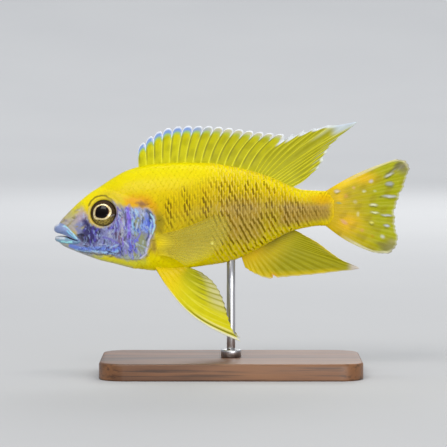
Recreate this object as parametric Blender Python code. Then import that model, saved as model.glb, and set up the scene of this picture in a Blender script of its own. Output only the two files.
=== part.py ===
"""A male peacock cichlid at life size, still, in its swimming pose, on a plain display stand.

Every size is in millimetres and becomes metres as its mesh is made. The fish swims towards -X with
its left side towards -Y, and +Z is up. The origin is under the middle of the fish, on the surface
that the stand rests on. Distances along the fish are counted backwards from the tip of its snout.
"""

import math

import bmesh
import bpy
import numpy as np

MM = 0.001
TOTAL_LENGTH = 125.0
PARTING_GAP = 0.3

# Body stations: distance behind the snout, height of the back, height of the belly, half width
BODY_STATIONS = (
    (0.0, 50.9, 48.3, 1.5),
    (0.4, 52.0, 47.4, 2.2),
    (1.1, 52.7, 46.8, 2.7),
    (2.1, 53.9, 46.1, 3.1),
    (4.2, 56.2, 44.9, 3.7),
    (8.5, 60.5, 43.1, 4.7),
    (12.7, 64.0, 41.5, 5.7),
    (16.9, 67.0, 40.1, 6.5),
    (21.2, 69.8, 39.1, 7.2),
    (25.4, 72.1, 38.0, 7.8),
    (29.7, 73.5, 37.0, 8.3),
    (36.0, 74.7, 36.4, 8.7),
    (44.5, 75.1, 37.0, 8.7),
    (54.0, 75.0, 38.2, 8.3),
    (62.1, 73.9, 39.6, 7.6),
    (70.6, 71.9, 43.2, 6.3),
    (79.1, 68.9, 47.9, 4.6),
    (83.3, 66.9, 50.0, 3.8),
    (88.3, 65.4, 51.4, 3.2),
    (93.9, 65.1, 52.2, 2.7),
    (96.8, 65.0, 52.1, 2.2),
    (98.6, 63.6, 53.6, 1.7),
    (100.2, 61.0, 56.2, 1.1),
)
STATION_S, BACK_Z, BELLY_Z, HALF_WIDTH = (np.array(column) for column in zip(*BODY_STATIONS))

# Section shape: how high the widest point lies, and how full the section is above and below it.
# A power of 1 makes an ellipse, less is fuller and more is keeled.
WIDEST_SHARE = ((0.0, 0.50), (17.0, 0.46), (36.0, 0.47), (60.0, 0.52), (100.2, 0.50))
UPPER_POWER = ((0.0, 0.85), (17.0, 0.95), (36.0, 1.12), (100.2, 1.05))
LOWER_POWER = ((0.0, 0.80), (17.0, 0.95), (36.0, 0.88), (62.0, 1.00), (80.0, 1.15), (100.2, 1.05))
RING_POINTS = 24
RING_SPACING = 3.6

# Parting lines of the head, as points of distance behind the snout and height
LIP_TOP = ((-3.0, 52.9), (2.1, 53.2), (3.9, 52.6), (5.6, 51.2), (7.4, 49.4), (8.9, 47.6))
MOUTH_ROOF = ((8.8, 47.45), (4.9, 49.0), (0.7, 49.9), (-3.0, 50.3))
JAW_TOP = ((-3.0, 48.7), (1.1, 48.8), (4.9, 48.0), (8.8, 47.0))
JAW_BACK = ((9.6, 46.6), (10.6, 45.3), (12.7, 42.8), (13.8, 36.0), (-3.0, 36.0))
GILL_OPENING = (
    (25.4, 78.0), (27.0, 70.5), (29.5, 64.5), (32.5, 60.3), (35.0, 57.6), (36.2, 54.8), (35.9, 51.8),
    (34.8, 49.6), (34.2, 47.8), (34.0, 45.0), (32.9, 42.4), (30.6, 40.8), (28.3, 37.5), (27.5, 33.0),
)
GILL_COVER = (
    (24.0, 59.6), (28.6, 60.0), (33.5, 60.2), (39.0, 58.0), (39.0, 44.0), (34.0, 41.1), (30.4, 41.0),
    (26.8, 40.9), (23.3, 41.4), (19.8, 42.4), (17.2, 43.4), (17.8, 44.8), (20.5, 45.1), (22.6, 46.4),
    (23.8, 48.9), (24.0, 54.0),
)
GILL_COVER_THICKNESS = 1.5
TRUNK_PARTINGS = (58.6, 82.4)

EYE_CENTRE = (17.4, 57.6)
EYE_RADIUS = 4.4
EYE_DEPTH = 3.0
EYE_OFFSET = 4.1

# Fins: thickness at the root and at the edge, and the share of it left between the rays
ROOT_SINK = 1.5
FIN_ROOT_THICKNESS = 1.5
FIN_EDGE_THICKNESS = 0.72
MEMBRANE_SHARE = 0.72
THINNEST = 0.5

DORSAL_BASE = (29.9, 83.0)
SOFT_DORSAL_START = 70.5
SPINE_TIPS = (
    (29.7, 78.5), (33.5, 81.8), (36.7, 83.8), (40.3, 85.2), (47.1, 86.0), (54.0, 86.0), (60.9, 85.4),
    (71.0, 84.2), (80.9, 83.3),
)
SPINES = 17
SPINE_LAPPET = 1.8
SOFT_DORSAL_EDGE = (
    (80.9, 83.3), (85.1, 84.8), (90.4, 86.3), (96.4, 87.7), (107.3, 89.1), (101.3, 84.1), (97.8, 80.8),
    (95.7, 77.4), (93.9, 73.5), (91.1, 71.1),
)
ANAL_BASE = (65.8, 82.7)
ANAL_EDGE = (
    (67.6, 37.5), (71.0, 35.4), (76.3, 33.7), (82.3, 34.3), (91.0, 35.1), (100.0, 36.2), (107.9, 37.4),
    (101.8, 40.3), (97.6, 43.2), (93.2, 46.5), (88.0, 49.3),
)
TAIL_ROOT_S = 95.4
TAIL_ROOT_Z = (64.6, 52.6)
TAIL_EDGE = (
    (121.6, 75.6), (124.4, 74.3), (125.0, 71.4), (123.4, 67.2), (121.9, 63.2), (120.7, 60.0),
    (120.2, 56.2), (120.5, 52.4), (121.2, 48.2), (120.2, 44.4), (116.9, 42.8),
)
TAIL_RAYS = 15
TAIL_BOW = 1.0
TAIL_SWAY = (1.5, 1.0, 2.0)
PELVIC_ROOT = ((35.7, 2.6), (45.6, 1.2))
PELVIC_TIPS = (
    (65.9, 12.0), (63.4, 15.4), (61.4, 20.9), (59.3, 27.3), (56.6, 32.0), (52.4, 35.6),
)
PELVIC_SPLAY = (6.5, 3.0)
PELVIC_BOW = (-4.3, 0.0)
PELVIC_RAYS = 7
PECTORAL_ROOT = ((36.9, 49.6), (37.6, 42.9))
PECTORAL_TIPS = (
    (57.0, 57.2), (61.4, 55.8), (62.6, 52.4), (61.4, 48.5), (58.0, 44.4), (53.0, 40.8), (46.5, 38.8),
)
PECTORAL_BOW = (-0.8, 0.8)
PECTORAL_FLARE = 6.0
PECTORAL_RAYS = 9

BASE_LENGTH, BASE_WIDTH, BASE_HEIGHT = 92.0, 52.0, 6.0
BASE_CORNER = 9.0
BASE_BEVEL = 0.9
ROD_RADIUS = 1.5
ROD_TOP = 44.0
ROD_BOTTOM = 2.5
COLLAR_RADIUS, COLLAR_HEIGHT, COLLAR_BEVEL = 3.6, 2.6, 0.5

# How far the cutters reach past the body: to its sides, below it and above it
SIDE_REACH = 30.0
BELOW_BODY, ABOVE_BODY = 30.0, 80.0

# Base colour, roughness and metallic value of each finish
FINISHES = {
    "body_scales": ((0.86, 0.72, 0.04), 0.40, 0.0),
    "head_skin": ((0.62, 0.56, 0.28), 0.40, 0.0),
    "gill_cover_skin": ((0.36, 0.36, 0.75), 0.35, 0.0),
    "lip_skin": ((0.35, 0.55, 0.80), 0.35, 0.0),
    "eye": ((0.08, 0.05, 0.03), 0.08, 0.0),
    "fin_membrane": ((0.72, 0.68, 0.05), 0.45, 0.0),
    "tail_fin_membrane": ((0.72, 0.58, 0.06), 0.45, 0.0),
    "clear_fin_membrane": ((0.80, 0.72, 0.30), 0.35, 0.0),
    "stand_wood": ((0.12, 0.06, 0.03), 0.50, 0.0),
    "stand_metal": ((0.60, 0.60, 0.60), 0.30, 1.0),
}


def clear_scene():
    for obj in list(bpy.data.objects):
        bpy.data.objects.remove(obj)


def material(finish):
    """The material of a finish, made when it is first asked for."""
    if finish in bpy.data.materials:
        return bpy.data.materials[finish]
    colour, roughness, metallic = FINISHES[finish]
    made = bpy.data.materials.new(finish)
    made.use_nodes = True
    shader = made.node_tree.nodes["Principled BSDF"]
    shader.inputs["Base Color"].default_value = (*colour, 1.0)
    shader.inputs["Roughness"].default_value = roughness
    shader.inputs["Metallic"].default_value = metallic
    return made


def to_metres(points):
    """Moves points given from the snout tip, in millimetres, to the frame, in metres."""
    return (np.asarray(points, float) - (TOTAL_LENGTH / 2, 0.0, 0.0)) * MM


def mesh_object(name, mesh_from, finish):
    """Makes an object of the bmesh that mesh_from fills. One with no finish is a hidden cutter."""
    bm = bmesh.new()
    mesh_from(bm)
    bm.normal_update()
    bmesh.ops.recalc_face_normals(bm, faces=bm.faces)
    mesh = bpy.data.meshes.new(name)
    bm.to_mesh(mesh)
    bm.free()
    obj = bpy.data.objects.new(name, mesh)
    bpy.context.scene.collection.objects.link(obj)
    if finish:
        mesh.materials.append(material(finish))
        mesh.shade_smooth()
        mesh.set_sharp_from_angle(angle=math.radians(40))
    else:
        obj.hide_render = True
        obj.display_type = "WIRE"
    return obj


def cut(obj, cutter, operation="DIFFERENCE"):
    """Adds a live Boolean of the cutter to the object."""
    modifier = obj.modifiers.new(f"{operation.lower()}_{cutter.name}", "BOOLEAN")
    modifier.operation = operation
    modifier.object = cutter


def slope_limited(xs, ys):
    """Slopes at the knots of a smooth curve that never overshoots its points."""
    step = np.diff(ys) / np.diff(xs)
    before, after = step[:-1], step[1:]
    same_way = before * after > 0
    harmonic = np.zeros_like(before)
    harmonic[same_way] = 2 * before[same_way] * after[same_way] / (before + after)[same_way]
    return np.concatenate([step[:1], harmonic, step[-1:]])


def smooth(x, xs, ys):
    """Cubic curve through the knots, held level past its ends."""
    xs, ys = np.asarray(xs, float), np.asarray(ys, float)
    slopes = slope_limited(xs, ys)
    x = np.clip(x, xs[0], xs[-1])
    i = np.clip(np.searchsorted(xs, x) - 1, 0, len(xs) - 2)
    width = xs[i + 1] - xs[i]
    t = (x - xs[i]) / width
    return (
        ys[i] * (1 + 2 * t) * (1 - t) ** 2
        + slopes[i] * width * t * (1 - t) ** 2
        + ys[i + 1] * t * t * (3 - 2 * t)
        + slopes[i + 1] * width * t * t * (t - 1)
    )


def along(points, shares):
    """Points at these shares of the arc length of a smooth curve through the given points."""
    points = np.asarray(points, float)
    chord = np.concatenate([[0], np.cumsum(np.linalg.norm(np.diff(points, axis=0), axis=1))])
    fine = np.linspace(0, chord[-1], 40 * len(points))
    curve = np.stack([smooth(fine, chord, column) for column in points.T], axis=1)
    arc = np.concatenate([[0], np.cumsum(np.linalg.norm(np.diff(curve, axis=0), axis=1))])
    return np.stack([np.interp(np.asarray(shares) * arc[-1], arc, c) for c in curve.T], axis=1)


def profile(pairs, s):
    return smooth(s, *zip(*pairs))


def body_ring(s, grow):
    """One closed section of the body, grown by a clearance, as points from the snout tip."""
    back = smooth(s, STATION_S, BACK_Z) + grow
    belly = smooth(s, STATION_S, BELLY_Z) - grow
    half_width = smooth(s, STATION_S, HALF_WIDTH) + grow
    widest = belly + (back - belly) * profile(WIDEST_SHARE, s)
    turn = np.arange(RING_POINTS) * math.tau / RING_POINTS
    up, side = np.cos(turn), np.sin(turn)
    power = np.where(up > 0, profile(UPPER_POWER, s), profile(LOWER_POWER, s))
    height = widest + np.where(up > 0, back - widest, widest - belly) * up
    at_end = max(grow, 0) * (float(s >= STATION_S[-1]) - float(s <= STATION_S[0]))
    across = half_width * np.sign(side) * np.abs(side) ** power
    return np.stack([np.full(RING_POINTS, s + at_end), across, height], axis=1)


def ring_stations(span):
    """Station distances in a span, with more of them between the ones that lie far apart."""
    found = [STATION_S[0]]
    for a, b in zip(STATION_S[:-1], STATION_S[1:]):
        parts = max(1, round((b - a) / RING_SPACING))
        found += [a + (b - a) * (i + 1) / parts for i in range(parts)]
    return [s for s in found if span[0] <= s <= span[1]]


def whole_body(name, grow=0.0, finish=None, span=(0.0, TOTAL_LENGTH)):
    """The head, trunk and tail stem as one closed body, lofted through its sections."""

    def fill(bm):
        rings = [[bm.verts.new(p) for p in to_metres(body_ring(s, grow))] for s in ring_stations(span)]
        for first, second in zip(rings[:-1], rings[1:]):
            for i in range(RING_POINTS):
                j = (i + 1) % RING_POINTS
                bm.faces.new((first[i], first[j], second[j], second[i]))
        bm.faces.new(rings[0])
        bm.faces.new(rings[-1][::-1])

    return mesh_object(name, fill, finish)


def grown_outline(outline, distance):
    """The outline with each corner moved out along its bisector."""
    points = np.asarray(outline, float)
    before, after = points - np.roll(points, 1, axis=0), np.roll(points, -1, axis=0) - points
    area = np.sum(points[:, 0] * np.roll(points[:, 1], -1) - np.roll(points[:, 0], -1) * points[:, 1])
    before, after = (edge / np.linalg.norm(edge, axis=1)[:, None] for edge in (before, after))
    bisector = (before + after)[:, ::-1] * (1, -1)
    stretch = 2 / np.maximum(np.sum(bisector**2, axis=1), 0.8)
    return points + math.copysign(distance, area) * bisector * stretch[:, None]


def prism(name, outline, grow=0.0, across=(-SIDE_REACH, SIDE_REACH)):
    """A cutter: a side outline carried straight across the fish."""

    def fill(bm):
        flat = grown_outline(outline, grow) if grow else np.asarray(outline, float)
        corners = to_metres([(s, across[0], z) for s, z in flat])
        face = bm.faces.new([bm.verts.new(p) for p in corners])
        swept = bmesh.ops.extrude_face_region(bm, geom=[face])["geom"]
        moved = [v for v in swept if isinstance(v, bmesh.types.BMVert)]
        bmesh.ops.translate(bm, verts=moved, vec=(0, (across[1] - across[0]) * MM, 0))

    return mesh_object(name, fill, None)


def ellipsoid(name, side, grow=0.0, finish=None):
    """An eyeball, or its socket where it is grown: a sphere flattened across the head."""

    def fill(bm):
        bmesh.ops.create_uvsphere(bm, u_segments=20, v_segments=10, radius=1.0)
        radius, depth = (EYE_RADIUS + grow) * MM, (EYE_DEPTH + grow) * MM
        centre = to_metres([(EYE_CENTRE[0], side * EYE_OFFSET, EYE_CENTRE[1])])[0]
        for v in bm.verts:
            v.co = (centre[0] + v.co.x * radius, centre[1] + v.co.z * depth, centre[2] + v.co.y * radius)

    return mesh_object(name, fill, finish)


def fin(name, roots, tips, gap_columns, rows, finish, bow=(0.0, 0.0), lappet=0.0, sway=(0.0, 0.0, 2.0)):
    """A fin: a sheet between a root line and an edge line, ribbed along its rays.

    Column k runs from roots[k] to tips[k]. Every gap_columns-th column is a ray, thicker than the
    membrane between. bow curves the rays in the fin's plane, from its first column to its last,
    lappet lengthens the membrane between two rays, and sway bends the fin across the fish: how far
    its edge goes at its first and its last column, and the power by which it gets there.
    """
    roots, tips = np.asarray(roots, float), np.asarray(tips, float)
    columns = len(roots)
    place = np.arange(columns)
    in_gap = (place % gap_columns) / gap_columns
    reach = tips - roots
    length = np.linalg.norm(reach, axis=1, keepdims=True)
    tips = tips + reach / length * (lappet * np.sin(math.pi * in_gap) ** 0.6)[:, None]
    reach = tips - roots
    sideways = np.stack([-reach[:, 2], np.zeros(columns), reach[:, 0]], axis=1)
    sideways /= np.linalg.norm(sideways, axis=1, keepdims=True)
    bend = np.interp(place, (0, columns - 1), bow)
    out = np.linspace(0, 1, rows + 1)
    grid = roots[:, None] + reach[:, None] * out[None, :, None]
    grid += sideways[:, None] * (bend[:, None] * np.sin(math.pi * out)[None])[:, :, None]
    grid[:, :, 1] += np.interp(place, (0, columns - 1), sway[:2])[:, None] * out[None] ** sway[2]
    rib = np.where(in_gap == 0, 1.0, MEMBRANE_SHARE)[:, None]
    thick = (FIN_ROOT_THICKNESS + (FIN_EDGE_THICKNESS - FIN_ROOT_THICKNESS) * out**0.7)[None] * rib
    weights = np.maximum(thick, THINNEST) / FIN_ROOT_THICKNESS

    def fill(bm):
        verts = [[bm.verts.new(p) for p in to_metres(column)] for column in grid]
        for a, b in zip(verts[:-1], verts[1:]):
            for i in range(rows):
                bm.faces.new((a[i], b[i], b[i + 1], a[i + 1]))

    obj = mesh_object(name, fill, finish)
    group = obj.vertex_groups.new(name="thickness")
    for i, weight in enumerate(weights.ravel()):
        group.add([i], float(weight), "REPLACE")
    solid = obj.modifiers.new("thickness", "SOLIDIFY")
    solid.thickness = FIN_ROOT_THICKNESS * MM
    solid.offset = 0.0
    solid.vertex_group = group.name
    return obj


def from_profile(points):
    """(distance, height) pairs as 3-D points on the fish's middle plane."""
    return np.array([(s, 0.0, z) for s, z in points])


def between_tips(tips, gap_columns):
    """The ray tips with points of the smooth edge between each two of them."""
    tips = np.asarray(tips, float)
    order = np.arange(len(tips), dtype=float)
    fine = np.linspace(0, len(tips) - 1, (len(tips) - 1) * gap_columns + 1)
    return np.stack([smooth(fine, order, column) for column in tips.T], axis=1)


def median_roots(base, columns, edge_z, sink):
    """Root points of a fin on the fish's middle line, sunk below its skin."""
    s = np.linspace(*base, columns)
    return np.stack([s, np.zeros(columns), smooth(s, STATION_S, edge_z) + sink], axis=1)


def body_nodes():
    """Head, lips, jaw, gill covers, trunk and tail stem: one body parted by thin cuts."""
    head_outline = ((-5.0, BELOW_BODY), (-5.0, ABOVE_BODY), *GILL_OPENING)
    muzzle = (*LIP_TOP, *JAW_BACK)
    head_region = prism("head_region", head_outline)
    behind_head = prism("behind_head", head_outline, grow=PARTING_GAP)
    muzzle_room = prism("muzzle_room", muzzle, grow=PARTING_GAP)
    lip_region = prism("lip_region", (*LIP_TOP, *MOUTH_ROOF))
    jaw_region = prism("jaw_region", (*JAW_TOP, *JAW_BACK))
    near_gills = (8.0, 50.0)
    gill_core = whole_body("gill_core", -GILL_COVER_THICKNESS, span=near_gills)
    gill_floor = whole_body("gill_floor", -GILL_COVER_THICKNESS - PARTING_GAP, span=near_gills)
    gill_room = prism("gill_room", GILL_COVER, grow=PARTING_GAP)
    cut(gill_room, gill_floor)

    head = whole_body("head", finish="head_skin")
    cut(head, head_region, "INTERSECT")
    cut(head, muzzle_room)
    cut(head, gill_room)
    for name, side in (("left", -1), ("right", 1)):
        cut(head, ellipsoid(f"{name}_eye_socket", side, grow=PARTING_GAP))
        cover = whole_body(f"{name}_gill_cover", finish="gill_cover_skin")
        half = sorted((side * 1.0, side * SIDE_REACH))
        cut(cover, head_region, "INTERSECT")
        cut(cover, prism(f"{name}_gill_region", GILL_COVER, across=half), "INTERSECT")
        cut(cover, gill_core)

    cut(whole_body("upper_lip", finish="lip_skin"), lip_region, "INTERSECT")
    cut(whole_body("lower_jaw", finish="lip_skin"), jaw_region, "INTERSECT")

    ends = (min(s for s, _ in GILL_OPENING) - PARTING_GAP, *TRUNK_PARTINGS, TOTAL_LENGTH)
    for name, start, end in zip(("trunk_front", "trunk_rear", "tail_stem"), ends[:-1], ends[1:]):
        node = whole_body(name, finish="body_scales")
        start, end = start + PARTING_GAP / 2, end - PARTING_GAP / 2
        span = ((start, BELOW_BODY), (start, ABOVE_BODY), (end, ABOVE_BODY), (end, BELOW_BODY))
        cut(node, prism(f"{name}_span", span), "INTERSECT")
        if name == "trunk_front":
            cut(node, behind_head)
        if name == "trunk_rear":
            cut(node, rod("rod_hole", ROD_RADIUS + PARTING_GAP, ROD_TOP + PARTING_GAP, None))


def median_fins():
    """The dorsal fin in its spiny and soft parts, the anal fin and the tail fin."""
    finish = "fin_membrane"
    fine, coarse = 4, 2
    columns = (SPINES - 1) * fine + 1
    roots = median_roots((DORSAL_BASE[0], SOFT_DORSAL_START), columns, BACK_Z, -ROOT_SINK)
    tips = from_profile(along(SPINE_TIPS, np.linspace(0, 1, columns)))
    spiny = fin("dorsal_fin_spiny", roots, tips, fine, 3, finish, bow=(0.0, 1.2), lappet=SPINE_LAPPET)

    step_back = 2 * PARTING_GAP
    columns = (len(SOFT_DORSAL_EDGE) - 1) * coarse + 1
    roots = median_roots((SOFT_DORSAL_START + step_back, DORSAL_BASE[1]), columns, BACK_Z, -ROOT_SINK)
    edge = np.array(SOFT_DORSAL_EDGE)
    edge[:, 0] += np.linspace(step_back, 0, len(edge))
    tips = from_profile(between_tips(edge, coarse))
    soft = fin("dorsal_fin_soft", roots, tips, coarse, 5, finish, bow=(1.2, -0.6), sway=(0.0, 1.2, 2.0))

    columns = (len(ANAL_EDGE) - 1) * coarse + 1
    roots = median_roots(ANAL_BASE, columns, BELLY_Z, ROOT_SINK)
    tips = from_profile(between_tips(ANAL_EDGE, coarse))
    anal = fin("anal_fin", roots, tips, coarse, 4, finish, bow=(0.0, 0.4), sway=(0.0, -0.8, 2.0))

    columns = (TAIL_RAYS - 1) * coarse + 1
    heights = np.linspace(*TAIL_ROOT_Z, columns)
    roots = np.stack([np.full(columns, TAIL_ROOT_S), np.zeros(columns), heights], axis=1)
    tips = from_profile(along(TAIL_EDGE, np.linspace(0, 1, columns)))
    bow = (TAIL_BOW, -TAIL_BOW)
    tail = fin("tail_fin", roots, tips, coarse, 5, "tail_fin_membrane", bow=bow, sway=TAIL_SWAY)
    return [spiny, soft, anal, tail]


def flank_half_width(s, z):
    """Half width of the body at a distance and height on its side."""
    back, belly = smooth(s, STATION_S, BACK_Z), smooth(s, STATION_S, BELLY_Z)
    widest = belly + (back - belly) * profile(WIDEST_SHARE, s)
    up = np.where(z > widest, (z - widest) / (back - widest), (widest - z) / (widest - belly))
    power = np.where(z > widest, profile(UPPER_POWER, s), profile(LOWER_POWER, s))
    round_side = np.sqrt(np.clip(1 - up**2, 0, 1))
    return smooth(s, STATION_S, HALF_WIDTH) * round_side**power


def paired_fins(side_name, side):
    """One side's pelvic and pectoral fin, both rooted inside the body."""
    coarse = 2
    columns = (PELVIC_RAYS - 1) * coarse + 1
    share = np.linspace(0, 1, columns)
    (s_front, y_front), (s_rear, y_rear) = PELVIC_ROOT
    s = s_front + (s_rear - s_front) * share
    y = y_front + (y_rear - y_front) * share
    roots = np.stack([s, side * y, smooth(s, STATION_S, BELLY_Z) + ROOT_SINK], axis=1)
    tips = from_profile(along(PELVIC_TIPS, share))
    tips[:, 1] = side * np.interp(share, (0, 1), PELVIC_SPLAY)
    pelvic = fin(f"{side_name}_pelvic_fin", roots, tips, coarse, 7, "fin_membrane", bow=PELVIC_BOW)

    columns = (PECTORAL_RAYS - 1) * coarse + 1
    share = np.linspace(0, 1, columns)
    (s_top, z_top), (s_low, z_low) = PECTORAL_ROOT
    s, z = s_top + (s_low - s_top) * share, z_top + (z_low - z_top) * share
    roots = np.stack([s, side * (flank_half_width(s, z) - ROOT_SINK), z], axis=1)
    tips = from_profile(along(PECTORAL_TIPS, share))
    tips[:, 1] = roots[:, 1]
    flare = (side * PECTORAL_FLARE, side * PECTORAL_FLARE, 0.6)
    name, finish = f"{side_name}_pectoral_fin", "clear_fin_membrane"
    pectoral = fin(name, roots, tips, coarse, 5, finish, bow=PECTORAL_BOW, sway=flare)
    return [pelvic, pectoral]


def rod(name, radius, top, finish, bottom=ROD_BOTTOM):
    """An upright round bar under the middle of the fish."""

    def fill(bm):
        r, length = radius * MM, (top - bottom) * MM
        bmesh.ops.create_cone(bm, cap_ends=True, segments=24, radius1=r, radius2=r, depth=length)
        bmesh.ops.translate(bm, verts=bm.verts, vec=(0, 0, (top + bottom) / 2 * MM))

    return mesh_object(name, fill, finish)


def stand():
    """A flat base with round corners, a collar on it and one rod up into the belly."""

    def fill(bm):
        corners = []
        half = np.array([BASE_LENGTH, BASE_WIDTH]) / 2 - BASE_CORNER
        for turn in np.arange(0, 360, 12) + 6:
            angle = math.radians(turn)
            quarter = np.sign([math.cos(angle), math.sin(angle)])
            point = half * quarter + BASE_CORNER * np.array([math.cos(angle), math.sin(angle)])
            corners.append(bm.verts.new((point[0] * MM, point[1] * MM, 0)))
        face = bm.faces.new(corners)
        swept = bmesh.ops.extrude_face_region(bm, geom=[face])["geom"]
        top = [v for v in swept if isinstance(v, bmesh.types.BMVert)]
        bmesh.ops.translate(bm, verts=top, vec=(0, 0, BASE_HEIGHT * MM))
        rim = [e for e in bm.edges if e.verts[0] in top and e.verts[1] in top]
        bmesh.ops.bevel(bm, geom=rim, offset=BASE_BEVEL * MM, segments=1, profile=0.5, affect="EDGES")

    base = mesh_object("stand_base", fill, "stand_wood")
    hole = rod("rod_clearance", ROD_RADIUS + PARTING_GAP, ROD_TOP, None, ROD_BOTTOM - PARTING_GAP)
    cut(base, hole)
    low = BASE_HEIGHT + PARTING_GAP
    collar = rod("stand_collar", COLLAR_RADIUS, low + COLLAR_HEIGHT, "stand_metal", low)
    bevel = collar.modifiers.new("edge", "BEVEL")
    bevel.width = COLLAR_BEVEL * MM
    bevel.segments = 1
    bevel.limit_method = "ANGLE"
    cut(collar, hole)
    rod("stand_rod", ROD_RADIUS, ROD_TOP, "stand_metal")


clear_scene()
body_nodes()
fins = median_fins()
for side_label, side_sign in (("left", -1), ("right", 1)):
    fins += paired_fins(side_label, side_sign)
    ellipsoid(f"{side_label}_eye", side_sign, finish="eye")
body_clearance = whole_body("body_clearance", grow=PARTING_GAP)
for fin_object in fins:
    cut(fin_object, body_clearance)
stand()
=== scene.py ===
"""A male peacock cichlid at life size, still, in its swimming pose, on a plain display stand.

Shapes are worked out in millimetres, with distances along the fish counted backwards from the tip
of its snout, and become metres as each mesh is made. The fish swims towards -X and its left side
faces -Y. Colours are given as display values from 0 to 255.
"""

import math
from types import SimpleNamespace

import bpy
import numpy as np
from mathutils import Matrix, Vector


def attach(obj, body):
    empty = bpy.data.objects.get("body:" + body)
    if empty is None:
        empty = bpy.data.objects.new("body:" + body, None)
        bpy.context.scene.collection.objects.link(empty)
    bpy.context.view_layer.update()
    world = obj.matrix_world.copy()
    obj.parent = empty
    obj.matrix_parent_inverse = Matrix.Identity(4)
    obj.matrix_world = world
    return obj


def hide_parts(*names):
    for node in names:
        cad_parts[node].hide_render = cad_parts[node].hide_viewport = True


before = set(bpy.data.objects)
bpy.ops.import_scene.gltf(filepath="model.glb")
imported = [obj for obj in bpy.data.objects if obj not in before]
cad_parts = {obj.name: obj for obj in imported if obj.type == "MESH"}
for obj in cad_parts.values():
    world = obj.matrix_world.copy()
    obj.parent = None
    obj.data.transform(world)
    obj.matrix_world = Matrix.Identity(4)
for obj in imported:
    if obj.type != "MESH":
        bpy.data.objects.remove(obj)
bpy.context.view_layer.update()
bpy.context.scene.view_settings.view_transform = "Standard"

# The body skin: one soft wet skin over the lips, jaw, head, gill covers, trunk and tail stem.
# It is lofted in closed rings, from the back of the open mouth out over the lips, along the gill
# opening and back to the tail stem, and is painted in washes and streaks.

MM = 0.001
SNOUT_TIP = 62.5

# Distance behind the snout, height of the back, height of the belly, half width
BODY_STATIONS = (
    (0.0, 50.9, 48.3, 1.5), (0.4, 52.0, 47.4, 2.2), (1.1, 52.7, 46.8, 2.7), (2.1, 53.9, 46.1, 3.1),
    (4.2, 56.2, 44.9, 3.7), (8.5, 60.5, 43.1, 4.7), (12.7, 64.0, 41.5, 5.7), (16.9, 67.0, 40.1, 6.5),
    (21.2, 69.8, 39.1, 7.2), (25.4, 72.1, 38.0, 7.8), (29.7, 73.5, 37.0, 8.3), (36.0, 74.7, 36.4, 8.7),
    (44.5, 75.1, 37.0, 8.7), (54.0, 75.0, 38.2, 8.3), (62.1, 73.9, 39.6, 7.6), (70.6, 71.9, 43.2, 6.3),
    (79.1, 68.9, 47.9, 4.6), (83.3, 66.9, 50.0, 3.8), (88.3, 65.4, 51.4, 3.2), (93.9, 65.1, 52.2, 2.7),
    (96.8, 65.0, 52.1, 2.2), (98.6, 63.6, 53.6, 1.7), (100.2, 61.0, 56.2, 1.1),
)
STATION_S, BACK_Z, BELLY_Z, HALF_WIDTH = (np.array(column) for column in zip(*BODY_STATIONS))
WIDEST_SHARE = ((0.0, 0.50), (17.0, 0.46), (36.0, 0.47), (60.0, 0.52), (100.2, 0.50))
UPPER_POWER = ((0.0, 0.85), (17.0, 0.95), (36.0, 1.12), (100.2, 1.05))
LOWER_POWER = ((0.0, 0.80), (17.0, 0.95), (36.0, 0.88), (62.0, 1.00), (80.0, 1.15), (100.2, 1.05))

COLUMNS = 360
MOUTH_RINGS, LIP_RINGS, MUZZLE_RINGS, FACE_RINGS, TRUNK_RINGS, STEM_RINGS = 10, 18, 34, 114, 30, 38
MUZZLE_END = 14.0
TRUNK_END = 58.0
COAT_DEPTH = 0.28
STEM_THINNING, STEM_SPAN = 0.5, (92.5, 100.2)

# The mouth, by the turn round it in degrees from the top: the lips' inner rim and outer groove
MOUTH_LENGTH, MOUTH_HALF_WIDTH, MOUTH_SINK = 8.6, 3.7, 1.05
UPPER_RIM = ((0.0, 50.0), (1.6, 49.75), (3.5, 49.2), (5.3, 48.5), (8.6, 47.4))
LOWER_RIM = ((0.0, 48.85), (2.0, 48.8), (3.9, 48.45), (5.3, 47.95), (8.6, 47.2))
LOWER_RIM_BACK = 0.3
MOUTH_BACK = (7.2, 0.0, 48.3)
LIP_GROOVE = (
    (0.0, 1.5, 0.0), (22.5, 2.0, 33.0), (45.0, 3.6, 63.0), (67.5, 6.6, 97.0), (81.0, 8.7, 112.0),
    (90.0, 9.4, 120.0), (99.0, 8.5, 129.0), (112.5, 6.2, 136.0), (135.0, 3.3, 142.0),
    (157.5, 1.7, 160.0), (180.0, 1.3, 180.0),
)
LIP_FULLNESS = (
    (0.0, 1.30), (30.0, 1.15), (60.0, 0.90), (80.0, 0.60), (90.0, 0.40), (105.0, 0.50), (135.0, 0.80),
    (160.0, 0.95), (180.0, 1.00),
)
LIP_GROOVE_DEPTH = 0.28

# Side-view lines of the head, as distance behind the snout and height
GILL_OPENING = (
    (25.4, 78.0), (27.0, 70.5), (29.5, 64.5), (32.5, 60.3), (35.0, 57.6), (36.2, 54.8), (35.9, 51.8),
    (34.8, 49.6), (34.2, 47.8), (34.0, 45.0), (32.9, 42.4), (30.6, 40.8), (28.3, 37.5), (27.5, 33.0),
)
GILL_MIDDLE, HALFWAY_STEPS = 32.0, 24
GILL_STEP, GILL_STEP_FADE = 0.34, (39.5, 41.5, 59.0, 62.5)
NAPE_LINE = ((9.0, 70.0), (12.0, 66.2), (17.0, 64.9), (22.0, 63.6), (28.0, 61.6), (34.0, 60.6))
COVER_HEM = (
    (33.6, 43.6), (32.4, 41.9), (30.4, 41.1), (26.8, 40.9), (23.3, 41.4), (19.8, 42.2), (15.5, 43.4),
)
CHEEK_FURROW = (
    (23.6, 59.4), (25.2, 54.5), (25.9, 50.6), (25.1, 47.0), (22.6, 44.6), (18.5, 43.7), (14.1, 43.9),
    (10.6, 45.0),
)
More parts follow.
